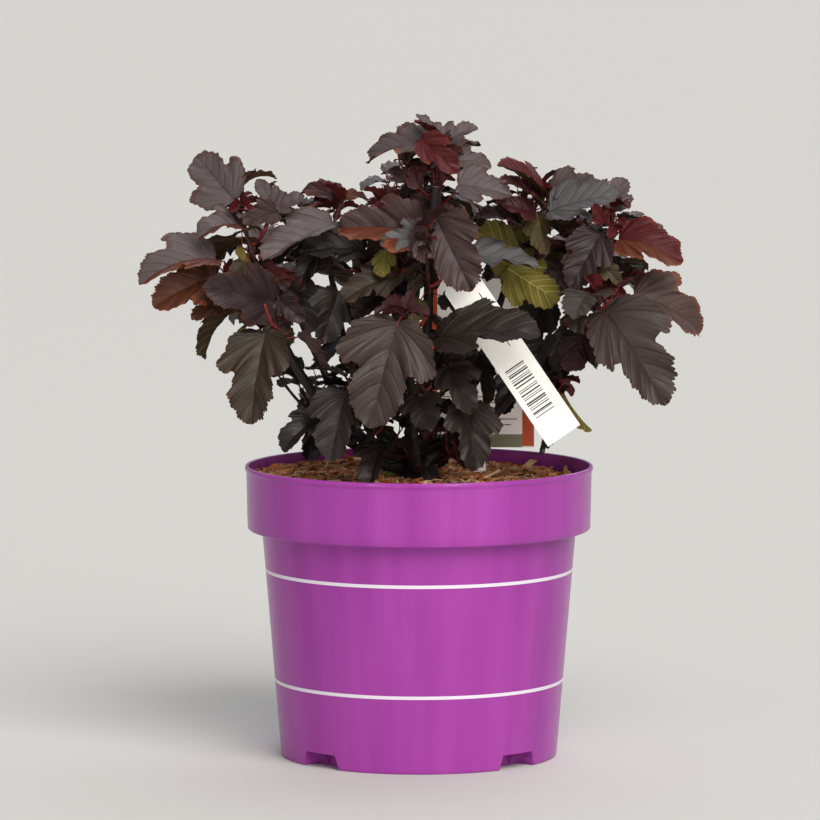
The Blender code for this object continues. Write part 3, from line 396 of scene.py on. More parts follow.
def leaf_frame(heading, rise, roll):
    """Unit vectors ahead, to the side and up of a blade, turned about its midrib by the roll."""
    ahead = pointing(heading, rise)
    side = unit(np.cross(np.array((0, 0, 1.0)), ahead))
    up = np.cross(ahead, side)
    turn = math.radians(roll)
    return ahead, math.cos(turn) * side + math.sin(turn) * up, math.cos(turn) * up - math.sin(turn) * side


def on_blade(leaf, place, width, lift):
    """The point at a place along and a width across a blade, in blade lengths, lifted off it.

    The midrib bends down on an arc of the leaf's bend. The halves fold up from it by the fold angle
    and curl back down by the square of the width.
    """
    place, width, lift = (np.asarray(value, dtype=float)[..., None] for value in (place, width, lift))
    turn = leaf.bend * place
    ahead = leaf.size * np.sin(turn) / leaf.bend
    drop = leaf.size * (1 - np.cos(turn)) / leaf.bend
    normal = np.cos(turn) * leaf.up + np.sin(turn) * leaf.ahead
    flank = width * leaf.size
    rise = np.abs(flank) * math.sin(leaf.fold) - leaf.curl * width * width * leaf.size
    return (leaf.base + ahead * leaf.ahead - drop * leaf.up + flank * math.cos(leaf.fold) * leaf.side
            + (rise + lift) * normal)


def leaf_shape(leaf, spare=0.0, growth=1.0):
    """Points and triangles of a leaf with its stalk, as sections of four points from root to tip.

    The spare thickens it and the growth widens it, for telling whether it is clear of others.
    """
    thick = 0.5 * BLADE_THICKNESS * leaf.size + spare
    stalk = STALK_RADIUS * MM * min(1.0, leaf.size / (FULL_STALK_BLADE * MM)) + spare
    run = unit(leaf.base - leaf.root)
    side = unit(leaf.side - np.dot(leaf.side, run) * run)
    top = np.cross(run, side)
    root = leaf.root + (run * STALK_ROOM_START * MM if spare else 0)
    rings = [[place - beside * stalk, place + over * stalk, place + beside * stalk, place - over * stalk]
             for place, beside, over in ((root, side, top), (leaf.base, leaf.side, leaf.up))]
    for midrib, margin, width in leaf.sections:
        width = width * growth
        thin = thick * (BLADE_FOOT_THICKNESS - midrib)
        rings.append([on_blade(leaf, margin, -width, 0), on_blade(leaf, midrib, 0, thin),
                      on_blade(leaf, margin, width, 0), on_blade(leaf, midrib, 0, -thin)])
    points = [point for ring in rings for point in ring] + [on_blade(leaf, growth, 0, 0)]
    faces = [(0, 1, 2), (0, 2, 3)]
    for ring in range(len(rings) - 1):
        for corner in range(4):
            a = 4 * ring + corner
            b = 4 * ring + (corner + 1) % 4
            faces += [(a, a + 4, b), (b, a + 4, b + 4)]
    last = 4 * (len(rings) - 1)
    tip = len(points) - 1
    faces += [(last + corner, tip, last + (corner + 1) % 4) for corner in range(4)]
    return np.array(points), faces


def bounds_of(points):
    """Lowest and highest corner of some points."""
    return points.min(axis=0), points.max(axis=0)


class Taken:
    """What already stands in the crown, as trees of triangles with their boxes."""

    def __init__(self):
        self.entries = []

    def add(self, points, faces, owner):
        """Keep a shape's space for its owner."""
        tree = BVHTree.FromPolygons([tuple(point) for point in points], faces)
        self.entries.append((tree, *bounds_of(points), owner))

    def touches(self, points, faces, but):
        """Whether a shape meets anything, apart from what these owners have."""
        low, high = bounds_of(points)
        tree = None
        for other, other_low, other_high, owner in self.entries:
            if owner in but or (low > other_high).any() or (high < other_low).any():
                continue
            tree = tree or BVHTree.FromPolygons([tuple(point) for point in points], faces)
            if tree.overlap(other):
                return True
        return False

    def take(self, shape, owner, but):
        """Keep a shape's space if it touches nothing, apart from what these owners have; whether it did."""
        if self.touches(*shape, but):
            return False
        self.add(*shape, owner)
        return True


def twig_shape(points, radii):
    """A three-sided tube round a twig, for telling whether it is clear of others."""
    direction = unit(points[-1] - points[0])
    side = across(direction, 0) if abs(direction[0]) < 0.9 else across(direction, 90)
    other = np.cross(direction, side)
    corners = []
    for point, radius in zip(points, radii):
        reach = (radius + TWIG_ROOM) * MM
        for turn in (0, 120, 240):
            angle = math.radians(turn)
            corners.append(point + reach * (math.cos(angle) * side + math.sin(angle) * other))
    faces = [(3 * ring + k, 3 * ring + (k + 1) % 3, 3 * ring + 3 + (k + 1) % 3, 3 * ring + 3 + k)
             for ring in range(len(points) - 1) for k in range(3)]
    return np.array(corners), faces


class Mass:
    """A mass of foliage as it grows: its twigs with the stem first, its twiglets and its leaves.

    Each leaf is kept as (leaf, grade, tone, key).
    """

    def __init__(self, number, name, limbs):
        self.number = number
        self.name = "foliage_" + name
        self.plan = Plan(*MASSES[name])
        self.mature, self.tips, self.young = PALETTES[self.plan.palette]
        self.stem = self.make_stem(limbs)
        self.twigs = [self.stem]
        self.twiglets = []
        self.leaves = []

    def make_stem(self, limbs):
        """The main stem: it leaves its carrier square to it, and leans to its own direction."""
        plan = self.plan
        if plan.carrier == "stool":
            height = plan.share * STOOL_HEIGHT / MM
            start, first = stool_start(plan.heading, height, STEM_RADIUS + STEM_COLLAR)
        else:
            start, first = limb_start(limbs[plan.carrier], plan.share, plan.heading)
        end = start + pointing(plan.heading, plan.rise) * plan.length * MM
        knee = start + first * LEAN * plan.length * MM
        points = arc(start + first * STRAIGHT_FOOT, knee, end, STEM_POINTS)
        return Limb(start, points, np.linspace(STEM_RADIUS, TWIG_TIP_RADIUS, STEM_POINTS))

    def near(self, leaf, reach):
        """Whether a leaf keeps to the space of its mass: a round space about the stem, by blade lengths."""
        tip = on_blade(leaf, 1, 0, 0)
        return np.linalg.norm(self.stem.points - tip, axis=1).min() < reach * self.plan.blade * MM


def given_leaf(root, base, heading, rise, roll, size, bend):
    """A leaf that is given, from the root of its stalk and the base of its blade."""
    bend = math.radians(max(bend, LEAST_BEND))
    return Leaf(root, base, *leaf_frame(heading, rise, roll), size * MM, bend, math.radians(SHOWN_FOLD),
                SHOWN_CURL, BLADE_SECTIONS)


def shown_leaf(stem, row):
    """A leaf whose stalk leaves the stem at its share of the way up, in the leaf's own heading."""
    share, heading, rise, roll, size, stalk, bend = row
    root = along(stem.points, share)[0]
    base = root + pointing(heading, min(rise + SHOWN_STALK_LIFT, STEEPEST_STALK)) * stalk * MM
    return given_leaf(root, base, heading, rise, roll, size, bend)


def placed_leaf(stem, row):
    """A leaf whose blade starts at a given place; its stalk comes from its share of the way up the stem."""
    share, place, *rest = row
    return given_leaf(along(stem.points, share)[0], vec(place), *rest)


def grown_leaf(stem, share, heading, size, draw):
    """A leaf by the rule: low ones are long and hang, high ones are short and stand up."""
    age = 1 - share
    size = size * (YOUNG_SIZE + (1 - YOUNG_SIZE) * age ** AGE_POWER) * draw.uniform(*SIZES)
    rise = TOP_RISE - RISE_FALL * age ** RISE_POWER + draw.uniform(-RISE_SLACK, RISE_SLACK)
    root = along(stem.points, share)[0]
    base = root + pointing(heading, min(rise + STALK_LIFT, STEEPEST_STALK)) * STALK_SHARE * size * MM
    ahead, side, up = leaf_frame(heading, rise, draw.uniform(-ROLL_SLACK, ROLL_SLACK))
    bend = math.radians(draw.uniform(*BENDS))
    fold = math.radians(draw.uniform(*FOLDS))
    curl = draw.uniform(*CURLS)
    return Leaf(root, base, ahead, side, up, size * MM, bend, fold, curl, PLAIN_SECTIONS)


def take_if_clear(leaf, room, name, twig_number, taken):
    """Take a leaf's space if it touches nothing but the twig that it stands on."""
    shape = leaf_shape(leaf, room * MM, CLEARANCE_GROWTH)
    return taken.take(shape, (name, "leaf"), ((name, twig_number),))


def grow_twigs(mass, taken):
    """Side twigs that leave the stem by the spiral, each skipped where it would touch something."""
    plan = mass.plan
    for order in range(plan.twigs):
        for attempt in range(LEAF_TRIES):
            draw = random.Random(f"{mass.number} twig {order} {attempt}")
            share = TWIG_FIRST_PLACE + TWIG_PLACES * order / plan.twigs + draw.uniform(0, TWIG_PLACE_SLACK)
            root = along(mass.stem.points, share)[0]
            turn = plan.heading + TWIG_TURN + SPIRAL_TURN * order + TWIG_TRY_TURN * attempt
            reach = plan.length * draw.uniform(*TWIG_LENGTHS) * MM
            end = root + pointing(turn, draw.uniform(*TWIG_RISES)) * reach
            knee = root + pointing(turn, TWIG_FIRST_RISE) * LEAN * reach
            points = arc(root, knee, end, TWIG_POINTS)
            radii = np.linspace(TWIG_FOOT_SHARE * STEM_RADIUS, TWIG_TIP_RADIUS, TWIG_POINTS)
            shape = twig_shape(points[1:], radii[1:])
            if taken.take(shape, (mass.name, len(mass.twigs)), ((mass.name, 0), "view")):
                mass.twigs.append(Limb(root, points, radii))
                break


# Half the outline of a blade from its foot to its tip: places along and widths across, in blade lengths.
# The seventh is the tip of the side lobe and the eleventh the notch beside the middle lobe. Each leaf is
# somewhere between the first outline, which is deeply notched, and the second, which is broad.
NOTCHED = np.array((
    (0.010, 0.020), (-0.026, 0.090), (-0.006, 0.190), (0.052, 0.285), (0.145, 0.370), (0.262, 0.432),
    (0.385, 0.462), (0.460, 0.432), (0.482, 0.355), (0.468, 0.275), (0.482, 0.222), (0.545, 0.236),
    (0.630, 0.258), (0.718, 0.256), (0.806, 0.226), (0.886, 0.174), (0.954, 0.100), (1.000, 0.000),
))
BROAD = np.array((
    (0.010, 0.020), (-0.030, 0.095), (-0.010, 0.200), (0.048, 0.300), (0.140, 0.385), (0.252, 0.442),
    (0.372, 0.466), (0.458, 0.450), (0.504, 0.398), (0.520, 0.340), (0.540, 0.302), (0.600, 0.306),
    (0.676, 0.302), (0.756, 0.280), (0.834, 0.236), (0.904, 0.174), (0.960, 0.098), (1.000, 0.000),
))
LAST = len(BROAD) - 1

# Where the lines from the margin meet the midrib, against the same count of places along the outline.
FEET = ((0, 6, 8, 10, 12, 14, 16, LAST), (0.0, 0.04, 0.07, 0.14, 0.34, 0.56, 0.79, 0.985))

# Lateral veins, as places along the outline where they reach the margin, and how many teeth each gap
# before, between and after them has.
VEINS = (2.0, 4.0, 6.0, 7.9, 11.2, 12.7, 14.1, 15.4)
TEETH = (2, 3, 3, 3, 2, 3, 3, 3, 3)
MAIN_VEIN = 6.0
VEIN_HALF = 0.06

# Grades of blade: rows for each tooth, shares of the way from midrib to margin, and whether it has veins.
Grade = namedtuple("Grade", "rows across veins")
GRADES = {
    "fine": Grade(4, (0.0, 0.02, 0.17, 0.38, 0.64, 0.88, 1.0), True),
    "plain": Grade(2, (0.0, 0.02, 0.26, 0.56, 0.86, 1.0), True),
    "young": Grade(2, (0.0, 0.03, 0.5, 1.0), False),
}
FINE_FROM = 27 * MM

# Parts of the outline, as their middle and spread: the side lobe, the notch beside it, the middle lobe, and
# where the blade is pleated down along the side lobe's vein and up again before the middle lobe.
LOBE_SPAN = (6.4, 2.6)
NOTCH_SPAN = (10.0, 0.5)
MIDDLE_SPAN = (13, 2.4)
PLEAT_SPAN = (MAIN_VEIN, 1.6)
PLEAT_BACK_SPAN = (9.8, 1.4)

# What is drawn for each blade: how broad its outline is, the lengths of its lobes, its teeth and swellings
# at every so many places along the margin, how far it is pleated, swollen and ruffled, what its fold, curl
# and bend gain, how far it leans to its tip and to one side, and its dents with their length and height.
BROADNESS = (0, 0.6)
LOBE_SIZES = (0.86, 1.04)
LOBE_SLACK = (0.95, 1.05)
MIDDLE_SLACK = (-0.08, 0.08)
MARGIN_STEP = 1.5
TOOTH_SIZES = (0.35, 1.3)
SWELL_SIZES = (0.2, 1.5)
PLEATS = (0.016, 0.045)
QUILTS = (0.5, 1.2)
RUFFLES = (0.012, 0.036)
RUFFLE_WAVES = (1.2, 2.3)
MORE_FOLD = (0.05, 0.34)
MORE_CURL = (0, 0.2)
MORE_BEND = (1.0, 1.2)
SKEWS = (-0.06, 0.06)
TWISTS = (-0.16, 0.16)
DENT_LENGTHS = (0.14, 0.4)
DENT_HEIGHTS = (0.014, 0.03)
MIDRIB_HALF = 0.009
TOOTH = 0.024
LOBULE = 0.013
QUILT = 0.005
DENTS = 6
BLADE_WALL = 0.010
VEIN_RIDGE = 0.007

# Leaf colours: upper side, its margin, underside, veins above and veins below. The veins above are mostly
# darker than the upper side: painted shade in their grooves, on top of the grooves the blade has.
TONES = {
    # grey and blue_grey: the leaves' own mauve-grey, made paler and greyer as painted sheen of the sky on
    # upper leaves
    "grey": ("#544848", "#4F3733", "#43301F", "#3F3232", "#6E5C34"),
    "blue_grey": ("#555354", "#4C4143", "#3C3020", "#3A3434", "#645A34"),
    "purple_grey": ("#3C2A29", "#442622", "#3C281C", "#2E1F1F", "#62512F"),
    "purple": ("#281617", "#341816", "#2E1E16", "#221314", "#52422A"),
    "hero": ("#3A2D28", "#3A2822", "#3C2F1D", "#2B201B", "#665A34"),
    "left": ("#31261D", "#35241A", "#372C18", "#251C15", "#5E532E"),
    "olive_grey": ("#34291E", "#382418", "#4C421F", "#2F281D", "#786E3A"),
    # dark and black go to leaves deep in and under the crown: partly the older leaves' own darker colour,
    # partly painted shade
    "dark": ("#231813", "#261812", "#2A2015", "#1F1612", "#443C24"),
    "black": ("#1A1210", "#1C120F", "#1C150F", "#140D0B", "#302A1C"),
    "bronze": ("#512B1B", "#602D1A", "#563A1E", "#422415", "#7A5E32"),
    "orange": ("#5C2C1A", "#6E3A20", "#7A441C", "#4A2617", "#946A30"),
    "orange_edge": ("#48322D", "#643822", "#6C431E", "#3B2824", "#86682F"),
    "red": ("#4C1315", "#5C1C18", "#521A17", "#3C0F11", "#6C322A"),
    "dark_red": ("#3C191B", "#4E1E1B", "#461E1B", "#2F1315", "#5C322C"),
    "maroon": ("#2C1315", "#381515", "#2A1212", "#200D0E", "#3E1E1E"),
    "olive": ("#443A1F", "#4C341C", "#665C25", "#382F1A", "#9A8E46"),
    "olive_yellow": ("#4A4020", "#543E20", "#74692A", "#3C3420", "#AA9E54"),
    "seedling": ("#7C9A3E", "#8AA84A", "#7E9648", "#94B058", "#94B058"),
    "olive_brown": ("#3A2C1C", "#402A18", "#43361B", "#302415", "#6A5C34"),
}
RED_TONES = ("red", "dark_red", "maroon", "orange", "bronze")
TONE_PARTS = ("upper", "margin", "under", "vein_above", "vein_below")


def catmull(values, places):
    """Values at places along a row of them, by the smooth curve through all (two-point slopes)."""
    values = np.asarray(values, dtype=float)
    places = np.asarray(places, dtype=float)
    first = np.clip(places.astype(int), 0, len(values) - 2)
    t = (places - first)[:, None] if values.ndim > 1 else places - first
    padded = np.concatenate((2 * values[:1] - values[1:2], values, 2 * values[-1:] - values[-2:-1]))
    a, b, c, d = (padded[first + k] for k in range(4))
    return 0.5 * (2 * b + (c - a) * t + (2 * a - 5 * b + 4 * c - d) * t ** 2
                  + (3 * b - a - 3 * c + d) * t ** 3)


def bell(places, span):
    """A bell curve of height one over places, from a span's middle and spread."""
    middle, spread = span
    return np.exp(-((places - middle) / spread) ** 2)


def grade_lines(grade):
    """A blade's lines: their places along the outline, which gap and where in it, and the vein rows.

    Every gap between two veins has the same few rows for each of its teeth.
    """
    marks = (0.0,) + VEINS + (LAST - 0.3,)
    last = len(TEETH) - 1
    lines = [(0.0, 0, 0.0, False)]
    for gap, teeth in enumerate(TEETH):
        low = marks[gap] + (VEIN_HALF if grade.veins and gap else 0)
        high = marks[gap + 1] - (VEIN_HALF if grade.veins and gap < last else 0)
        steps = max(2, grade.rows * teeth) if grade.veins else grade.rows
        for step in range(1, steps + 1):
            lines.append((low + (high - low) * step / steps, gap, step / steps, False))
        if grade.veins and gap < last:
            lines.append((marks[gap + 1] + VEIN_HALF, gap + 1, 0.0, True))
    stops, gaps, phases, vein_rows = (np.array(column) for column in zip(*lines))
    return stops, gaps, phases, vein_rows[1:]


def dents(place, width, draw):
    """Uneven dents over a blade: the mean of a few plane waves."""
    away = draw.uniform(0, TAU, DENTS)
    wave = TAU / draw.uniform(*DENT_LENGTHS, DENTS)
    run = place[..., None] * wave * np.cos(away) + width[..., None] * wave * np.sin(away)
    return draw.uniform(*DENT_HEIGHTS) * np.sin(run + draw.uniform(0, TAU, DENTS)).mean(axis=-1)


class Blade:
    """The flat pattern of a blade for one grade: a grid of lines (rows) from one margin to the other.

    Each line runs from its foot on the midrib to the margin, bowed forward. The last row is the tip,
    one point. Heights are in blade lengths: tissue swells between the veins like a quilt, and each gap
    between two veins ends in rounded teeth.
    """

    def __init__(self, grade):
        stops, gaps, phases, vein_rows = grade_lines(grade)
        self.outlines = catmull(NOTCHED, stops), catmull(BROAD, stops)
        slope = np.gradient(0.5 * sum(self.outlines), stops, axis=0)
        tangent = slope / np.linalg.norm(slope, axis=1)[:, None]
        self.stops = stops
        self.outward = np.stack([-tangent[:, 1], tangent[:, 0]], 1)
        self.tangent = tangent
        self.foot = np.interp(stops, FEET[0], FEET[1])
        self.across = np.array(grade.across)
        self.rows = len(stops)
        self.columns = 2 * len(grade.across) - 1
        self.vein_rows = vein_rows
        width = np.diff((0.0,) + VEINS + (float(LAST),))[gaps]
        self.swell = (1 - np.abs(2 * phases - 1) ** 2.4) * np.minimum(width, 2.0) / 1.6
        self.on_vein = np.where((phases == 0) | (phases == 1), 1.0, 0.0) if grade.veins else 0 * stops
        wave = np.abs(np.cos(np.pi * phases * np.array(TEETH)[gaps])) ** 0.6
        fade = np.clip((stops - 0.9) / 1.2, 0, 1) * np.clip((LAST - stops) / 1.2, 0.35, 1)
        notch = 1 - 0.9 * bell(stops, NOTCH_SPAN)
        self.tooth = (TOOTH * (wave - 0.6) + LOBULE * np.cos(TAU * phases)) * fade * notch
        if not grade.veins:
            self.swell = 0 * stops
            self.tooth = TOOTH * (np.arange(len(stops)) % 2 - 0.5) * fade
        self.faces, self.kinds, self.aside = self.make_faces()

    def make_faces(self):
        """Faces of the closed shell, the part of the leaf that each is (by TONE_PARTS), and its side.

        Above is the whole grid; below is the grid without its two margins, which it shares; then the tip.
        """
        rows, columns = self.rows, self.columns
        above = np.arange(rows * columns).reshape(rows, columns)
        below = above.copy()
        below[:, 1:-1] = rows * columns + np.arange(rows * (columns - 2)).reshape(rows, columns - 2)
        tip = rows * columns + rows * (columns - 2)
        a, b, c, d = above[:-1, :-1], above[:-1, 1:], above[1:, 1:], above[1:, :-1]
        upper = np.stack([a, d, c, b], -1)
        a, b, c, d = below[:-1, :-1], below[:-1, 1:], below[1:, 1:], below[1:, :-1]
        lower = np.stack([a, b, c, d], -1)
        half = len(self.across) - 1
        cell = np.abs(np.arange(columns - 1) - (half - 0.5)).astype(int)
        vein = self.vein_rows[:, None] & (cell < half - 1)[None, :]
        vein |= (cell == 0)[None, :] & (self.stops[:-1] < LAST - 1.5)[:, None]
        edge = np.broadcast_to((self.across[cell] > 0.84)[None, :], vein.shape)
        kind_above = np.where(vein, 3, np.where(edge, 1, 0))
        kind_below = np.where(vein, 4, 2)
        end = np.stack([above[-1, 1:], above[-1, :-1], np.full(columns - 1, tip)], -1)
        end_below = np.stack([below[-1, :-1], below[-1, 1:], np.full(columns - 1, tip)], -1)
        foot = np.stack([above[0, :-1], above[0, 1:], below[0, 1:], below[0, :-1]], -1)
        quads = np.concatenate([upper.reshape(-1, 4), lower.reshape(-1, 4), foot[1:-1]])
        corners = foot[0, [0, 1, 2]], foot[-1, [0, 1, 3]]
        triangles = np.concatenate([end, end_below, np.array(corners)])
        kinds = np.concatenate([kind_above.ravel(), kind_below.ravel(), np.full(columns - 3, 2),
                                np.full(columns - 1, 1), np.full(columns - 1, 2), (2, 2)])
        aside = np.arange(columns - 1) >= half
        aside = np.concatenate([np.tile(aside, 2 * (rows - 1)), aside[1:-1], aside, aside, (False, True)])
        return (quads, triangles), kinds, aside

    def half(self, form, draw):
        """One side of a leaf: where its points are along and across the blade, and how far they rise.

        Teeth and the swelling between veins are uneven along the margin, and differ on the two sides.
        """
        lobe, pleat, quilt, ruffle, wave = form
        broad = draw.uniform(*BROADNESS)
        share = self.across[None, :]
        rows = self.stops[:, None]
        spots = np.arange(0, LAST + MARGIN_STEP, MARGIN_STEP)
        uneven = np.interp(self.stops, spots, draw.uniform(*TOOTH_SIZES, len(spots)))
        swell = np.interp(self.stops, spots, draw.uniform(*SWELL_SIZES, len(spots)))
        outline = (1 - broad) * self.outlines[0] + broad * self.outlines[1]
        lobe = 1 - (1 - lobe * draw.uniform(*LOBE_SLACK)) * bell(self.stops, LOBE_SPAN)
        middle = 1 + draw.uniform(*MIDDLE_SLACK) * bell(self.stops, MIDDLE_SPAN)
        outline = outline * np.stack([np.ones_like(lobe), lobe * middle], 1)
        outline = outline + (uneven * self.tooth)[:, None] * (self.outward + 0.12 * self.tangent)
        place = self.foot[:, None] + (outline[:, :1] - self.foot[:, None]) * share ** 1.2
        width = outline[:, 1:] * share ** 0.93
        rib = MIDRIB_HALF * (1.15 - self.foot)
        width[:, 1] = rib
        place[:, 1] = self.foot + 0.3 * rib
        inner = np.clip(share / 0.28, 0, 1) ** 0.8 * (1 - 0.6 * share ** 4)
        lift = quilt * (swell * self.swell)[:, None] * inner
        lift -= 0.005 * self.on_vein[:, None] * inner
        lift -= pleat * share * bell(rows, PLEAT_SPAN)
        lift += 0.6 * pleat * share * bell(rows, PLEAT_BACK_SPAN)
        lift += ruffle * share ** 2 * np.sin(draw.uniform(*RUFFLE_WAVES) * rows + wave)
        return place, width, lift

    def points(self, leaf, draw):
        """The shell of one leaf: two halves with their own lobes, folds and ruffle, laid on its surface."""
        draw = np.random.default_rng(draw.getrandbits(40))
        form = (draw.uniform(*LOBE_SIZES), draw.uniform(*PLEATS), QUILT * draw.uniform(*QUILTS),
                draw.uniform(*RUFFLES), draw.uniform(0, TAU))
        leaf = leaf._replace(fold=leaf.fold + draw.uniform(*MORE_FOLD),
                             curl=leaf.curl + draw.uniform(*MORE_CURL),
                             bend=leaf.bend * draw.uniform(*MORE_BEND))
        halves = self.half(form, draw), self.half(form, draw)
        place, width, lift = (np.concatenate([sign * left[:, :0:-1], right], 1)
                              for sign, left, right in zip((1, -1, 1), *halves))
        place = place + draw.uniform(*SKEWS) * width
        lift = lift + draw.uniform(*TWISTS) * (place - 0.3) * width + dents(place, width, draw)
        share = self.across[None, :]
        wall = BLADE_WALL * (1 - share ** 5) * (1.1 - 0.4 * self.foot[:, None])
        ridge = VEIN_RIDGE * self.on_vein[:, None] * (1 - 0.7 * share) * (share < 0.99)
        ridge[:, :2] = 1.3 * VEIN_RIDGE * (1.1 - self.foot[:, None])
        deep = np.concatenate([(wall + ridge)[:, :0:-1], wall + ridge], 1)
        top = on_blade(leaf, place, width, lift * leaf.size)
        under = on_blade(leaf, place, width, (lift - deep) * leaf.size)[:, 1:-1]
        return np.concatenate([top.reshape(-1, 3), under.reshape(-1, 3), [on_blade(leaf, 1, 0, 0)]])

    def chart(self):
        """Where each point is on the blade: along the outline, and from one margin to the other."""
        along_outline = np.broadcast_to((self.stops / LAST)[:, None], (self.rows, self.columns))
        aside = np.broadcast_to(np.concatenate([-self.across[:0:-1], self.across])[None], along_outline.shape)
        top = np.stack([along_outline, aside], -1)
        return np.concatenate([top.reshape(-1, 2), top[:, 1:-1].reshape(-1, 2), [(1.0, 0.0)]])


BLADES = {name: Blade(grade) for name, grade in GRADES.items()}


def linear(hex_colour):
    """An sRGB hex colour as linear red, green, blue and full alpha."""
    parts = [int(hex_colour[k:k + 2], 16) / 255 for k in (1, 3, 5)]
    return tuple(p / 12.92 if p <= 0.04045 else ((p + 0.055) / 1.055) ** 2.4 for p in parts) + (1.0,)


def node(tree, kind, settings=None, **links):
    """Add a shader node: settings for its properties and values, links as input name to output socket."""
    made = tree.nodes.new(kind)
    for name, value in (settings or {}).items():
        if isinstance(name, int) or name in made.inputs:
            made.inputs[name].default_value = value
        else:
            setattr(made, name, value)
    for name, socket in links.items():
        tree.links.new(made.inputs[name.replace("_", " ")], socket)
    return made


def new_material(name, colour, roughness, values=None):
    """A material with its shader's constant values: its node tree, its shader and where its points are."""
    skin = bpy.data.materials.new(name)
    skin.use_nodes = True
    tree = skin.node_tree
    shader = tree.nodes["Principled BSDF"]
    constants = {"Base Color": linear(colour), "Roughness": roughness, "Metallic": 0.0, **(values or {})}
    for socket, value in constants.items():
        shader.inputs[socket].default_value = value
    return skin, tree, shader, node(tree, "ShaderNodeTexCoord").outputs["Object"]


def noise(tree, place, scale, detail, roughness=0.5):
    """A cloudy pattern, its scale for each metre."""
    settings = {"Scale": scale, "Detail": detail, "Roughness": roughness}
    return node(tree, "ShaderNodeTexNoise", settings, Vector=place).outputs["Fac"]


def two_tones(tree, shader, pattern, tones, stops):
    """Blend the shader's colour from the first tone to the second as the pattern goes between two stops."""
    ramp = node(tree, "ShaderNodeValToRGB", {}, Fac=pattern)
    for element, tone, stop in zip(ramp.color_ramp.elements, tones, stops):
        element.position = stop
        element.color = linear(tone)
    tree.links.new(shader.inputs["Base Color"], ramp.outputs["Color"])


def uneven_shine(tree, shader, pattern, span, stops=(0.0, 1.0)):
    """Let the roughness go through a span as the pattern goes between two stops."""
    settings = dict(zip(("To Min", "To Max", "From Min", "From Max"), span + stops))
    shine = node(tree, "ShaderNodeMapRange", settings, Value=pattern)
    tree.links.new(shader.inputs["Roughness"], shine.outputs["Result"])


def raise_grain(tree, shader, pattern, strength, depth, sockets=("Normal",)):
    """Raise the surface by the pattern, to a depth in mm."""
    bump = node(tree, "ShaderNodeBump", {"Strength": strength, "Distance": depth * MM}, Height=pattern)
    for socket in sockets:
        tree.links.new(shader.inputs[socket], bump.outputs["Normal"])


def leaf_material(tone, part):
    """Living leaf skin: satin above, dull below, finely ribbed from foot to margin and crinkled.

    The chart's first value runs along the outline, so bands of it fan out from the foot of the blade.
    """
    above = part in ("upper", "margin", "vein_above")
    roughness = 0.5 if above else 0.62
    specular = 0.42 if above and tone not in RED_TONES else 0.3
    skin, tree, shader, place = new_material(f"leaf_{tone}_{part}", TONES[tone][TONE_PARTS.index(part)],
                                             roughness, {"IOR": 1.45, "Specular IOR Level": specular})
    chart = node(tree, "ShaderNodeUVMap", {"uv_map": "blade"}).outputs["UV"]
    # about 26 ribs on each side, which is 2 mm apart at the margin of a large leaf
    ribs = node(tree, "ShaderNodeTexWave", {"bands_direction": "X", "wave_profile": "SIN", "Scale": 8.2,
                                            "Distortion": 1.8, "Detail": 2.0, "Detail Scale": 1.5},
                Vector=chart)
    height = node(tree, "ShaderNodeMath", {"operation": "MULTIPLY_ADD", 1: 0.55},
                  Value=ribs.outputs["Fac"])
    tree.links.new(height.inputs[2], noise(tree, place, 520.0, 3.0, 0.6))
    raise_grain(tree, shader, height.outputs[0], 0.24, 0.5 if above else 0.8)
    uneven_shine(tree, shader, noise(tree, place, 90.0, 2.0), (roughness - 0.07, roughness + 0.1), (0.3, 0.7))
    return skin


def bark_material(name, colour, other, roughness, grain):
    """Young bark: two tones in long streaks, with fine ridges and pores of the given size in mm."""
    skin, tree, shader, place = new_material(name, colour, roughness,
                                             {"IOR": 1.48, "Specular IOR Level": 0.3})
    long = node(tree, "ShaderNodeMapping", {"Scale": (1.0, 1.0, 0.25)}, Vector=place).outputs["Vector"]
    streak = noise(tree, long, 1000.0 / grain, 5.0, 0.65)
    two_tones(tree, shader, streak, (colour, other), (0.35, 0.72))
    raise_grain(tree, shader, streak, 0.6, 0.5)
    return skin


def mottled(name, low, high, roughness, size, depth):
    """Cut wood, chips or mix: two tones mottled at a size in mm, with a grain of the same kind."""
    skin, tree, shader, place = new_material(name, low, roughness)
    cloud = noise(tree, place, 1000.0 / size, 6.0, 0.6)
    two_tones(tree, shader, cloud, (low, high), (0.34, 0.68))
    raise_grain(tree, shader, cloud, 0.8, depth)
    return skin


def pot_material():
    """Glossy violet polypropylene, injection moulded: faint moulding marks up the wall, raised as bumps and
    paler in the colour as painted highlight streaks, and fine scuffs.
    """
    skin, tree, shader, place = new_material("pot_moulded_polypropylene", "#963590", 0.33,
                                             {"IOR": 1.49, "Specular IOR Level": 0.15, "Coat Weight": 0.22,
                                              "Coat Roughness": 0.07})
    tall = node(tree, "ShaderNodeMapping", {"Scale": (1.0, 1.0, 0.06)}, Vector=place).outputs["Vector"]
    flow_and_painted_streaks = noise(tree, tall, 55.0, 3.0)
    # the paler tone along the moulding marks is painted highlight: streaks where the glossy wall would catch
    # light
    two_tones(tree, shader, flow_and_painted_streaks, ("#963694", "#A544A1"), (0.3, 0.75))
    uneven_shine(tree, shader, noise(tree, place, 260.0, 5.0, 0.7), (0.29, 0.38), (0.4, 0.75))
    raise_grain(tree, shader, flow_and_painted_streaks, 0.25, 1.2, ("Normal", "Coat Normal"))
    return skin


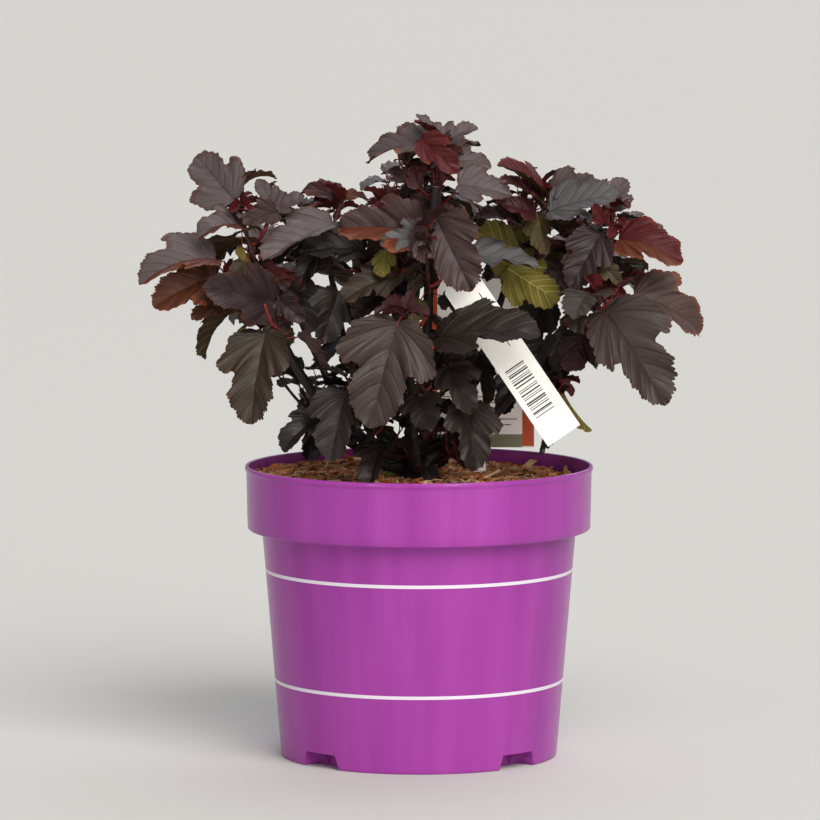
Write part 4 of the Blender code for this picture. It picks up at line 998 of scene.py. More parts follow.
def printed_material(name, colour, roughness, grain, painted_glow=0.0):
    """Ink or smooth film: an even colour with a very fine grain in its shine and surface.

    White stock and film can glow a little by emission: painted light that stands in for the front light they
    lack.
    """
    skin, tree, shader, place = new_material(name, colour, roughness,
                                             {"IOR": 1.48, "Emission Color": linear("#FFF6EA"),
                                              "Emission Strength": painted_glow})
    fine = noise(tree, place, 1000.0 / grain, 3.0)
    uneven_shine(tree, shader, fine, (roughness - 0.08, roughness + 0.08))
    raise_grain(tree, shader, fine, 0.2, 0.2)
    return skin


def put(name, data):
    """A new object of the data, in the scene."""
    thing = bpy.data.objects.new(name, data)
    bpy.context.scene.collection.objects.link(thing)
    return thing


def mesh_piece(name, points, quads, triangles, kinds, skins, smooth, chart):
    """An object of points and faces; kinds give each face's material, smooth the angle of a sharp edge.

    The chart, which only leaves have, gives each point its place on its blade, for the leaf materials.
    """
    mesh = bpy.data.meshes.new(name)
    points = np.asarray(points, dtype=np.float32)
    loops = np.concatenate([np.asarray(quads).ravel(), np.asarray(triangles).ravel()]).astype(np.int32)
    sizes = np.concatenate([np.full(len(quads), 4), np.full(len(triangles), 3)]).astype(np.int32)
    mesh.vertices.add(len(points))
    mesh.vertices.foreach_set("co", points.ravel())
    mesh.loops.add(len(loops))
    mesh.loops.foreach_set("vertex_index", loops)
    mesh.polygons.add(len(sizes))
    mesh.polygons.foreach_set("loop_start", (np.cumsum(sizes) - sizes).astype(np.int32))
    mesh.polygons.foreach_set("material_index", np.asarray(kinds, dtype=np.int32))
    for skin in skins:
        mesh.materials.append(skin)
    mesh.update(calc_edges=True)
    if chart is not None:
        layer = mesh.uv_layers.new(name="blade")
        layer.data.foreach_set("uv", chart[loops].astype(np.float32).ravel())
    mesh.validate()
    mesh.shade_smooth()
    mesh.set_sharp_from_angle(angle=math.radians(smooth))
    return put(name, mesh)


def tube_faces(rows, sides):
    """Quads between the rows of points round a tube, and triangles to the two end points that follow them."""
    grid = np.arange(rows * sides).reshape(rows, sides)
    nxt = np.roll(grid, -1, axis=1)
    quads = np.stack([grid[:-1], nxt[:-1], nxt[1:], grid[1:]], -1).reshape(-1, 4)
    ends = np.concatenate([np.stack([nxt[0], grid[0], np.full(sides, grid.size)], -1),
                           np.stack([grid[-1], nxt[-1], np.full(sides, grid.size + 1)], -1)])
    return quads, ends


def swept(points, radii, sides, scale=1.0):
    """A tube along points: circles of the radii across the path, on a frame carried along without twist.

    The scale changes each radius by ring and side; returns points, quads and end triangles.
    """
    steps = np.gradient(points, axis=0)
    steps /= np.linalg.norm(steps, axis=1)[:, None]
    first = np.array((1.0, 0, 0)) if abs(steps[0, 0]) < 0.8 else np.array((0, 1.0, 0))
    side = np.empty_like(steps)
    side[0] = unit(first - np.dot(first, steps[0]) * steps[0])
    for ring in range(1, len(steps)):
        last = side[ring - 1]
        side[ring] = unit(last - np.dot(last, steps[ring]) * steps[ring])
    other = np.cross(steps, side)
    turn = np.arange(sides) * TAU / sides
    reach = np.broadcast_to(np.asarray(radii)[:, None] * scale, (len(points), sides))
    rings = points[:, None, :] + reach[..., None] * (np.cos(turn)[None, :, None] * side[:, None, :]
                                                     + np.sin(turn)[None, :, None] * other[:, None, :])
    ends = np.stack([points[0], points[-1]])
    return np.concatenate([rings.reshape(-1, 3), ends]), *tube_faces(len(points), sides)


class Joined:
    """Shapes gathered to be one piece, each face with its material's slot."""

    def __init__(self, name):
        self.name = name
        self.shapes = []
        self.skins = []
        self.charts = []
        self.total = 0

    def slot(self, skin):
        """The slot of a material in this piece."""
        if skin not in self.skins:
            self.skins.append(skin)
        return self.skins.index(skin)

    def add(self, points, quads, triangles, quad_kinds, triangle_kinds):
        """Add a shape; the kinds are slots, one for each face or one for all."""
        quads = np.asarray(quads).reshape(-1, 4) + self.total
        triangles = np.asarray(triangles).reshape(-1, 3) + self.total
        self.shapes.append((points, quads, triangles, np.broadcast_to(quad_kinds, len(quads)),
                            np.broadcast_to(triangle_kinds, len(triangles))))
        self.total += len(points)

    def piece(self, smooth):
        """All the shapes as one object."""
        points, quads, triangles, *kinds = (np.concatenate(rows) for rows in zip(*self.shapes))
        chart = np.concatenate(self.charts) if self.charts else None
        return mesh_piece(self.name, points, quads, triangles, np.concatenate(kinds), self.skins, smooth,
                          chart)


SKINS = {}


def leaf_skin(tone, part):
    """The material of a part of a leaf, made once."""
    if (tone, part) not in SKINS:
        SKINS[tone, part] = leaf_material(tone, part)
    return SKINS[tone, part]


def add_blade(joined, leaf, grade, tone, key):
    """One leaf's shell, with its tone's five materials on its parts; two tones share it by halves."""
    blade = BLADES[grade]
    quads, triangles = blade.faces
    tones = (tone.split("/") * 2)[:2]
    slots = np.array([[joined.slot(leaf_skin(tone, part)) for part in TONE_PARTS] for tone in tones])
    kinds = slots[blade.aside.astype(int), blade.kinds]
    joined.add(blade.points(leaf, random.Random(key)), quads, triangles, kinds[:len(quads)],
               kinds[len(quads):])
    joined.charts.append(blade.chart())


# Wood: a stalk's radius along it as shares, and how a twig swells round the root of each leaf.
STALK_MESH_RADIUS = 0.62
STALK_FORM = (1.35, 1.05, 0.95, 0.9, 0.92, 1.0, 0.75)
STALK_SIDES = 6
TWIG_RINGS = 22
TWIG_SIDES = 8
ROOT_SWELL = 0.32
ROOT_SWELL_RUN = 1.6 * MM
ROOTS_WITHIN = 12 * MM
STEM_DEPTH = 1.2 * MM
DARK_STALKED = ("dark", "black", "left", "olive_grey")


def add_stalk(joined, leaf, slot):
    """A leaf's stalk: from the middle of its twig to a little way up its midrib, thicker at both ends."""
    end = on_blade(leaf, 0.05, 0, -0.004 * leaf.size)
    span = np.linalg.norm(end - leaf.root)
    knee = 0.5 * (leaf.root + leaf.base) + np.array((0, 0, -0.06 * span))
    points = arc(leaf.root, knee, end, len(STALK_FORM))
    thin = STALK_MESH_RADIUS * MM * min(1.0, 0.35 + 0.65 * leaf.size / (FULL_STALK_BLADE * MM))
    joined.add(*swept(points, thin * np.array(STALK_FORM), STALK_SIDES), slot, slot)


def add_twig(joined, twig, roots, slot, foot_depth):
    """A twig through its points, its foot sunk in its carrier, swollen where each leaf leaves it."""
    places = np.linspace(0, len(twig.points) - 1, TWIG_RINGS)
    line = catmull(twig.points, places)
    shares = places / (len(twig.points) - 1)
    radii = np.interp(shares, np.linspace(0, 1, len(twig.radii)), twig.radii) * MM
    for root in roots:
        near = np.linalg.norm(line - root, axis=1)
        radii = radii * (1 + ROOT_SWELL * bell(near, (0, ROOT_SWELL_RUN)))
    if foot_depth:
        back = unit(twig.points[0] - twig.foot)
        foot = twig.foot - back * foot_depth
        line = np.concatenate([[foot, twig.foot], line])
        radii = np.concatenate([radii[:1], radii[:1], radii])
    tip_round = np.array((0.8, 0.45)) * radii[-1]
    way = unit(line[-1] - line[-2])
    line = np.concatenate([line, line[-1:] + way * 0.5 * radii[-1], line[-1:] + way * 0.9 * radii[-1]])
    radii = np.concatenate([radii, tip_round])
    joined.add(*swept(line, radii, TWIG_SIDES), slot, slot)


# The finer growth that the solids leave out: leaves for each twig and twiglets for each mass, with the same
# kinds of shares, turns, lengths and pairs as above.
FINE_LEAVES = 5
FINE_SIZES = (0.34, 0.72)
FINE_PLACES = (0.12, 1.0)
FINE_TURN = 90
FINE_TRY_TURN = 50
FINE_TURN_SLACK = 30
FINE_CLEARANCE = 0.25
FINE_REACH = 0.95
TIPS_FROM = 0.75
PLAIN_FROM = 22 * MM
TWIGLETS = 4
FIRST_TWIGLET = 100
TWIGLET_PLACES = (0.3, 1.0)
TWIGLET_TURN = 100
TWIGLET_TRY_TURN = 40
TWIGLET_LENGTHS = (9, 20)
TWIGLET_RISES = (35, 78)
TWIGLET_FIRST_RISE = 15
TWIGLET_LEAN = 0.4
TWIGLET_RADII = (0.75, 0.45)
TWIGLET_LEAVES = 4
TWIGLET_LEAF_TRIES = 4
TWIGLET_LEAF_TURN = 60
TWIGLET_BARE = 0.35
TWIGLET_BLADES = (9, 19)
TWIGLET_GROWTH = 1.4

# Leaf colours that each mass deals: to the leaves of the rule, to those near its tips, to young shoots.
PALETTES = {
    # the high palette deals the grey tones to the top of the crown, where their paleness is partly painted
    # sky sheen
    "high": (("grey", "blue_grey", "purple_grey", "grey", "purple_grey"), ("purple", "bronze", "dark_red"),
             ("red", "dark_red", "red")),
    "middle": (("hero", "purple_grey", "left", "dark", "purple"), ("dark_red", "bronze", "purple"),
               ("red", "dark_red", "red")),
    "olive": (("olive_brown", "purple_grey", "olive", "hero", "dark"), ("bronze", "dark_red", "olive_brown"),
              ("red", "dark_red", "maroon")),
    # the deep and low palettes deal the darkest tones inside and under the crown: partly older leaves' own
    # colour, partly painted shade
    "deep": (("dark", "purple", "left", "black", "dark"), ("dark_red", "maroon", "purple"),
             ("red", "dark_red", "maroon")),
    "low": (("dark", "black", "dark", "left", "black"), ("dark", "maroon", "black"),
            ("dark_red", "maroon", "dark")),
}


# Open view: sheets at these distances before a leaf that shows, in mm, which twigs and tufts may cross but
# leaves of the rule may not, with their places along and across the blade.
VIEW_STEPS = (5, 12, 20, 29, 39, 50)
TO_VIEWER = np.array((0.0, -0.995, 0.098))
VIEW_PLACES = (0.12, 0.5, 0.88)
VIEW_WIDTHS = (-0.26, 0.0, 0.26)


def open_view(leaf, taken):
    """Sheets the size of a blade's middle, one before the other towards the viewer, walled round."""
    place, width = np.meshgrid(VIEW_PLACES, VIEW_WIDTHS, indexing="ij")
    sheet = on_blade(leaf, place, width, 0.0).reshape(-1, 3)
    points = np.concatenate([sheet + step * MM * TO_VIEWER for step in VIEW_STEPS])
    round_it = (0, 1, 2, 5, 8, 7, 6, 3)
    faces = []
    for layer in range(len(VIEW_STEPS)):
        first = 9 * layer
        for a in (0, 1, 3, 4):
            faces += [(first + a, first + a + 1, first + a + 4), (first + a, first + a + 4, first + a + 3)]
        if layer:
            for a, b in zip(round_it, round_it[1:] + round_it[:1]):
                faces += [(first - 9 + a, first - 9 + b, first + b), (first - 9 + a, first + b, first + a)]
    taken.add(points, faces, "view")


# Open sky: parts of the view, from left to right and from low to high in mm at the pot's middle, where the
# backdrop shows between sprays. Leaves of the rule keep off the sheets that stand there through the crown.
OPEN_SKY = ((-114, -84, 181, 212), (-74, -30, 352, 380), (40, 72, 360, 384), (66, 80, 249, 264),
            (-84, -74, 200, 222))
CAMERA_PLACE = np.array((-0.0054, -3.5231, 0.5535))
SKY_STEPS = range(-100, 145, 7)


def open_sky(left, right, low, high, taken):
    """Sheets one behind the other along the camera's lines of sight through a part of the view."""
    corners = vec([(x, 0, z) for x in (left, 0.5 * (left + right), right)
                   for z in (low, 0.5 * (low + high), high)])
    points = np.concatenate([CAMERA_PLACE + (corners - CAMERA_PLACE) * (step * MM - CAMERA_PLACE[1])
                             / -CAMERA_PLACE[1] for step in SKY_STEPS])
    faces = [(first + a, first + a + 1, first + a + 4, first + a + 3)
             for first in range(0, len(points), 9) for a in (0, 1, 3, 4)]
    taken.add(points, faces, "sky")


# Tufts: young leaves folded round the tip of a stem. Pairs are the least and the most that are drawn.
TUFT_LEAVES = 9
TUFT_SIZES = (8, 19)
TUFT_PLACES = (0.82, 1.0)
TUFT_RISES = (5, 70)
TUFT_STALKS = (2.5, 7)
TUFT_STALK_LIFT = 20
TUFT_STEEPEST = 80
TUFT_ROLLS = (-50, 50)
TUFT_BENDS = (20, 80)
TUFT_FOLDS = (15, 40)
TUFT_CURL = 0.1
TUFT_TRY_TURN = 35
TUFT_MASS_TURN = 40
TUFT_CLEARANCE = 0.1


def grow_tuft(mass, taken):
    """Small red leaves that stand up round the tip of a mass's stem."""
    for order in range(TUFT_LEAVES):
        for attempt in range(LEAF_TRIES):
            key = f"{mass.number} tuft {order} {attempt}"
            draw = random.Random(key)
            heading = SPIRAL_TURN * order + TUFT_MASS_TURN * mass.number + TUFT_TRY_TURN * attempt
            rise = draw.uniform(*TUFT_RISES)
            size = draw.uniform(*TUFT_SIZES)
            root = along(mass.stem.points, draw.uniform(*TUFT_PLACES))[0]
            stalk = pointing(heading, min(rise + TUFT_STALK_LIFT, TUFT_STEEPEST))
            base = root + stalk * draw.uniform(*TUFT_STALKS) * MM
            leaf = Leaf(root, base, *leaf_frame(heading, rise, draw.uniform(*TUFT_ROLLS)), size * MM,
                        math.radians(draw.uniform(*TUFT_BENDS)), math.radians(draw.uniform(*TUFT_FOLDS)),
                        TUFT_CURL, BLADE_SECTIONS)
            shape = leaf_shape(leaf, TUFT_CLEARANCE * MM)
            if within(shape[0]) and taken.take(shape, (mass.name, "leaf"), ((mass.name, 0), "view")):
                mass.leaves.append((leaf, "young", draw.choice(mass.young), key))
                break


def add_given(mass, leaf, room, tone, key, taken):
    """Add a listed leaf where it is clear, in the grade that its size asks for."""
    if take_if_clear(leaf, room, mass.name, 0, taken):
        mass.leaves.append((leaf, "fine" if leaf.size > FINE_FROM else "plain", tone, f"{mass.name} {key}"))


def grow_all(limbs, taken):
    """Every mass by the source's rule, then its finer leaves."""
    masses = {name: Mass(number, name, limbs) for number, name in enumerate(MASSES)}
    for mass in masses.values():
        taken.add(*twig_shape(mass.stem.points, mass.stem.radii), (mass.name, 0))
    for order, (name, *row, tone) in enumerate(PLACED_LEAVES):
        mass = masses[name]
        add_given(mass, placed_leaf(mass.stem, row), PLACED_CLEARANCE, tone, f"placed {order}", taken)
    for name, rows in SHOWN_LEAVES.items():
        mass = masses[name]
        for order, (*row, tone) in enumerate(rows):
            add_given(mass, shown_leaf(mass.stem, row), SHOWN_CLEARANCE, tone, f"shown {order}", taken)
    for mass in masses.values():
        shown = list(mass.leaves)
        if mass.plan.palette != "low":
            grow_tuft(mass, taken)
        for leaf, *_ in shown:
            open_view(leaf, taken)
    for part in OPEN_SKY:
        open_sky(*part, taken)
    for mass in masses.values():
        grow_twigs(mass, taken)
        for twig_number in range(len(mass.twigs)):
            grow_leaves(mass, twig_number, taken)
    for mass in masses.values():
        grow_fine(mass, taken)
    return masses.values()


def grow_leaves(mass, twig_number, taken):
    """Leaves in a spiral along a twig, each tried a few ways and then skipped."""
    plan = mass.plan
    count, size = (TWIG_LEAVES, TWIG_LEAF_SHARE * plan.blade) if twig_number else (plan.leaves, plan.blade)
    first_turn = plan.heading + TWIG_LEAF_TURN * twig_number
    for order in range(count):
        share = FIRST_LEAF_PLACE + (1 - FIRST_LEAF_PLACE) * order / (count - 1)
        for attempt in range(LEAF_TRIES):
            key = f"{mass.number} leaf {twig_number} {order} {attempt}"
            draw = random.Random(key)
            slack = SPIRAL_SLACK * (1 + attempt)
            turn = first_turn + SPIRAL_TURN * order + draw.uniform(-slack, slack)
            leaf = grown_leaf(mass.twigs[twig_number], share, turn, size * (1 - TRY_SHRINK * attempt), draw)
            if mass.near(leaf, MASS_REACH) and take_if_clear(leaf, CLEARANCE, mass.name, twig_number, taken):
                tone = mass.mature[(order + twig_number + mass.number) % len(mass.mature)]
                mass.leaves.append((leaf, "plain", tone, key))
                break


def within(points):
    """Whether points keep inside the box of the solids."""
    return (points > np.array(CAD_BOX[0])).all() and (points < np.array(CAD_BOX[1])).all()


def try_fine(mass, leaf, twig_number, taken):
    """Take a finer leaf's space if it is clear, near its stem and inside the box of the solids."""
    shape = leaf_shape(leaf, FINE_CLEARANCE * MM, CLEARANCE_GROWTH)
    return (within(shape[0]) and mass.near(leaf, FINE_REACH)
            and taken.take(shape, (mass.name, "leaf"), ((mass.name, twig_number),)))


def grow_fine(mass, taken):
    """Smaller leaves between the others, then twiglets with a few young leaves each."""
    for twig_number, twig in enumerate(mass.twigs):
        for order in range(FINE_LEAVES):
            for attempt in range(LEAF_TRIES):
                key = f"{mass.number} fine {twig_number} {order} {attempt}"
                draw = random.Random(key)
                share = draw.uniform(*FINE_PLACES)
                turn = mass.plan.heading + FINE_TURN + SPIRAL_TURN * order + FINE_TRY_TURN * attempt
                turn = turn + draw.uniform(-FINE_TURN_SLACK, FINE_TURN_SLACK)
                leaf = grown_leaf(twig, share, turn, mass.plan.blade * draw.uniform(*FINE_SIZES), draw)
                leaf = leaf._replace(sections=BLADE_SECTIONS)
                if try_fine(mass, leaf, twig_number, taken):
                    tone = draw.choice(mass.mature if share < TIPS_FROM else mass.mature[:2] + mass.tips)
                    mass.leaves.append((leaf, "plain" if leaf.size > PLAIN_FROM else "young", tone, key))
                    break
    for order in range(TWIGLETS):
        grow_twiglet(mass, order, taken)


def grow_twiglet(mass, order, taken):
    """A short red shoot from a twig of the mass, with young leaves up it; left out if it has one or none."""
    mark = FIRST_TWIGLET + order
    for attempt in range(LEAF_TRIES):
        key = f"{mass.number} twiglet {order} {attempt}"
        draw = random.Random(key)
        carrier = draw.randrange(len(mass.twigs))
        root = along(mass.twigs[carrier].points, draw.uniform(*TWIGLET_PLACES))[0]
        turn = mass.plan.heading + TWIGLET_TURN + SPIRAL_TURN * order + TWIGLET_TRY_TURN * attempt
        reach = draw.uniform(*TWIGLET_LENGTHS) * MM
        end = root + pointing(turn, draw.uniform(*TWIGLET_RISES)) * reach
        knee = root + pointing(turn, TWIGLET_FIRST_RISE) * TWIGLET_LEAN * reach
        points = arc(root, knee, end, TWIG_POINTS)
        shoot = Limb(root, points, np.linspace(*TWIGLET_RADII, TWIG_POINTS))
        shape = twig_shape(points[1:], shoot.radii[1:])
        if not within(shape[0]) or not taken.take(shape, (mass.name, mark), ((mass.name, carrier), "view")):
            continue
        before = len(mass.leaves)
        for place in range(TWIGLET_LEAVES):
            for again in range(TWIGLET_LEAF_TRIES):
                leaf_key = f"{key} {place} {again}"
                draw = random.Random(leaf_key)
                share = TWIGLET_BARE + (1 - TWIGLET_BARE) * place / (TWIGLET_LEAVES - 1)
                size = draw.uniform(*TWIGLET_BLADES)
                heading = turn + SPIRAL_TURN * place + TWIGLET_LEAF_TURN * again
                leaf = grown_leaf(shoot, share, heading, size * TWIGLET_GROWTH, draw)
                leaf = leaf._replace(sections=BLADE_SECTIONS)
                if try_fine(mass, leaf, mark, taken):
                    mass.leaves.append((leaf, "young", draw.choice(mass.young), leaf_key))
                    break
        if len(mass.leaves) > before + 1:
            mass.twiglets.append(shoot)
        else:
            del mass.leaves[before:]
        return


def node_faces(name):
    """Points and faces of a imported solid, for the trees."""
    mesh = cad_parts[name].data
    points = np.empty(3 * len(mesh.vertices), dtype=np.float32)
    mesh.vertices.foreach_get("co", points)
    return points.reshape(-1, 3).astype(float), [tuple(face.vertices) for face in mesh.polygons]


def make_limbs():
    """Every bough's path, by the source's rule."""
    limbs = {}
    for name, (heading, height, foot, tip, knee, end) in BOUGHS.items():
        start, first = stool_start(heading, height, foot + BOUGH_FLARE)
        limbs[name] = bent_limb(start, first, vec(knee), vec(end), foot, tip)
    for name, (parent, share, heading, foot, tip, knee, end) in SIDE_BOUGHS.items():
        start, first = limb_start(limbs[parent], share, heading)
        limbs[name] = bent_limb(start, first, vec(knee), vec(end), foot, tip)
    return limbs


def dress_mass(mass, skins):
    """A mass as two pieces: its twigs with the stalks, and its leaves."""
    wood = Joined(mass.name.replace("foliage", "twigs"))
    blades = Joined(mass.name.replace("foliage", "leaves"))
    bark, shoot, stalk, stalk_dark = (wood.slot(skins[key])
                                      for key in ("twig", "shoot", "stalk", "stalk_dark"))
    roots = np.array([leaf.root for leaf, *_ in mass.leaves])
    for order, twig in enumerate(mass.twigs):
        near = [root for root in roots if np.linalg.norm(twig.points - root, axis=1).min() < ROOTS_WITHIN]
        woody = order == 0 or mass.plan.palette == "low"
        add_twig(wood, twig, near, bark if woody else shoot, 0 if order else STEM_DEPTH)
    for twig in mass.twiglets:
        add_twig(wood, twig, [], shoot, 0)
    for leaf, grade, tone, key in mass.leaves:
        add_blade(blades, leaf, grade, tone, key)
        add_stalk(wood, leaf, stalk_dark if tone in DARK_STALKED else stalk)
    for piece, slot in ((wood.piece(60), "bark"), (blades.piece(50), "foliage")):
        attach(piece, "root")
        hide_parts(mass.name)


# Bark: rings and sides of a limb's mesh, and the long ridges round it as their count and height. A bough's
# tip is closed by three rings, as shares of its last radius: how thick they are, and how far ahead.
BOUGH_RINGS = 110
BOUGH_SIDES = 18
BOUGH_RIDGES = ((3, 0.05), (5, 0.04), (8, 0.028))
BOUGH_SCARS = 9
SCAR_SPREAD = 0.012
FOOT_DEPTH = 1.6 * MM
CUT_BOUGHS = ("bough_middle", "bough_middle_left")
CUT_END = ((1.0, 0.93, 0.45), (0.01, 0.22, 0.26))
ROUND_END = ((0.96, 0.85, 0.5), (0.03, 0.08, 0.1))
STOOL_RINGS = 60
STOOL_SIDES = 72
STOOL_RIDGES = ((9, 0.03), (16, 0.022), (27, 0.014))


def bark_relief(rings, sides, seed, scars):
    """Scale of a limb's radius by ring and side: long ridges that drift, fine rings, and leaf scars."""
    draw = np.random.default_rng(seed)
    ring = np.linspace(0, 1, rings)[:, None]
    turn = (np.arange(sides) * TAU / sides)[None, :]
    relief = np.ones((rings, sides))
    for count, size in BOUGH_RIDGES:
        drift, start = draw.uniform(-3, 3), draw.uniform(0, TAU)
        wander = 0.8 * np.sin(9 * ring * draw.uniform(1, 2))
        relief += size * np.sin(count * turn + drift * ring + start + wander)
    relief += 0.02 * draw.normal(size=(rings, 1)) + 0.012 * draw.normal(size=(rings, sides))
    for place in np.linspace(0.12, 0.93, scars):
        spot = place + draw.uniform(-0.02, 0.02)
        face = draw.uniform(0, TAU)
        swell = bell(ring, (spot, SCAR_SPREAD))
        relief += swell * (0.13 + 0.17 * np.clip(np.cos(turn - face), 0, 1) ** 3)
    return relief


def make_bough(name, limb, number, skins):
    """A bough's tapering tube with the bark's relief; the cut ones end in a pale face."""
    sunk = limb.foot - unit(limb.points[0] - limb.foot) * FOOT_DEPTH
    line = np.vstack([sunk, limb.foot, limb.points])
    radii = np.concatenate([limb.radii[:1], limb.radii[:1], limb.radii])
    places = np.linspace(0, len(line) - 1, BOUGH_RINGS)
    path = catmull(line, places)
    thick = np.interp(places, np.arange(len(radii)), radii) * MM
    relief = bark_relief(BOUGH_RINGS, BOUGH_SIDES, number, BOUGH_SCARS)
    cut = name in CUT_BOUGHS
    lip, ahead = (np.array(row) for row in (CUT_END if cut else ROUND_END))
    way = unit(path[-1] - path[-2])
    path = np.concatenate([path, path[-1] + (ahead * thick[-1])[:, None] * way])
    radii = np.concatenate([thick, thick[-1] * lip])
    relief = np.concatenate([relief, np.ones((len(lip), BOUGH_SIDES)) * 0.97])
    points, quads, triangles = swept(path, radii, BOUGH_SIDES, relief)
    joined = Joined(name.replace("bough", "bark"))
    bark = joined.slot(skins["bark"])
    kinds = np.full(len(quads), bark)
    ends = np.full(len(triangles), bark)
    if cut:
        kinds[-BOUGH_SIDES:] = ends[BOUGH_SIDES:] = joined.slot(skins["cut"])
    joined.add(points, quads, triangles, kinds, ends)
    piece = joined.piece(60)
    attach(piece, "root")
    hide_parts(name)


def make_stool(skins):
    """The stock: its radius by height, with buttress ridges that fade upwards and old cut scars."""
    height = np.linspace(0, STOOL_HEIGHT, STOOL_RINGS)
    radius = np.array([stool_radius(level) for level in height])
    smooth = np.convolve(np.pad(radius, 4, mode="edge"), np.ones(9) / 9, mode="valid")
    smooth[-3:] *= (0.97, 0.93, 0.86)
    draw = np.random.default_rng(71)
    turn = (np.arange(STOOL_SIDES) * TAU / STOOL_SIDES)[None, :]
    share = (height / STOOL_HEIGHT)[:, None]
    relief = 1 - 0.05 + 0.05 * np.sin(5 * turn + 1.2 * share) * (1.2 - share)
    for count, size in STOOL_RIDGES:
        relief = relief + size * np.sin(count * turn + draw.uniform(0, TAU) + 2.5 * np.sin(4 * share))
    relief = relief + 0.012 * draw.normal(size=(STOOL_RINGS, STOOL_SIDES))
    path = np.stack([0 * height, 0 * height, MIX_TOP + GAP + height], 1)
    joined = Joined("bark_stool")
    slot = joined.slot(skins["bark"])
    joined.add(*swept(path, smooth, STOOL_SIDES, np.minimum(relief, 1.06)), slot, slot)
    piece = joined.piece(60)
    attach(piece, "root")
    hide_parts("stool")


# Pot: sizes as in the source. Its two printed rings are each a height and a width. The first rows of its
# profile are the flat underside, up to the foot's edge.
POT_HEIGHT = 175 * MM
POT_RIM_RADIUS = 103.8 * MM
POT_LIP = 0.7 * MM
POT_COLLAR_HEIGHT = 38 * MM
POT_NECK_RADIUS = 94.3 * MM
POT_FOOT_RADIUS = 83.0 * MM
POT_WALL = 1.6 * MM
POT_FLOOR = 2.0 * MM
NOTCH_HEADINGS = (45, 135, 225, 315)
NOTCH_HEIGHT = 9 * MM
NOTCH_DEPTH = 13 * MM
NOTCH_HALF_LOW = 16 * MM
NOTCH_HALF_HIGH = 12 * MM
NOTCH_SLOPE = 14 * MM / (NOTCH_HALF_LOW - NOTCH_HALF_HIGH)
POT_RINGS = ((112.6, 2.0), (46.1, 2.0))
POT_HEADINGS = 240
UNDERSIDE_ROWS = 5


def notch_roof(radius, turn, room):
    """Height of the notched feet's space over a place of the pot's foot, or zero outside it."""
    roof = np.zeros(np.broadcast(radius, turn).shape)
    for heading in NOTCH_HEADINGS:
        away = turn - math.radians(heading)
        ahead = radius * np.cos(away)
        aside = np.abs(radius * np.sin(away))
        rise = NOTCH_HEIGHT + room - (aside - NOTCH_HALF_HIGH - room) * NOTCH_SLOPE
        rise = np.clip(rise, 0, NOTCH_HEIGHT + room)
        roof = np.maximum(roof, np.where(ahead > POT_FOOT_RADIUS - NOTCH_DEPTH - room, rise, 0))
    return roof


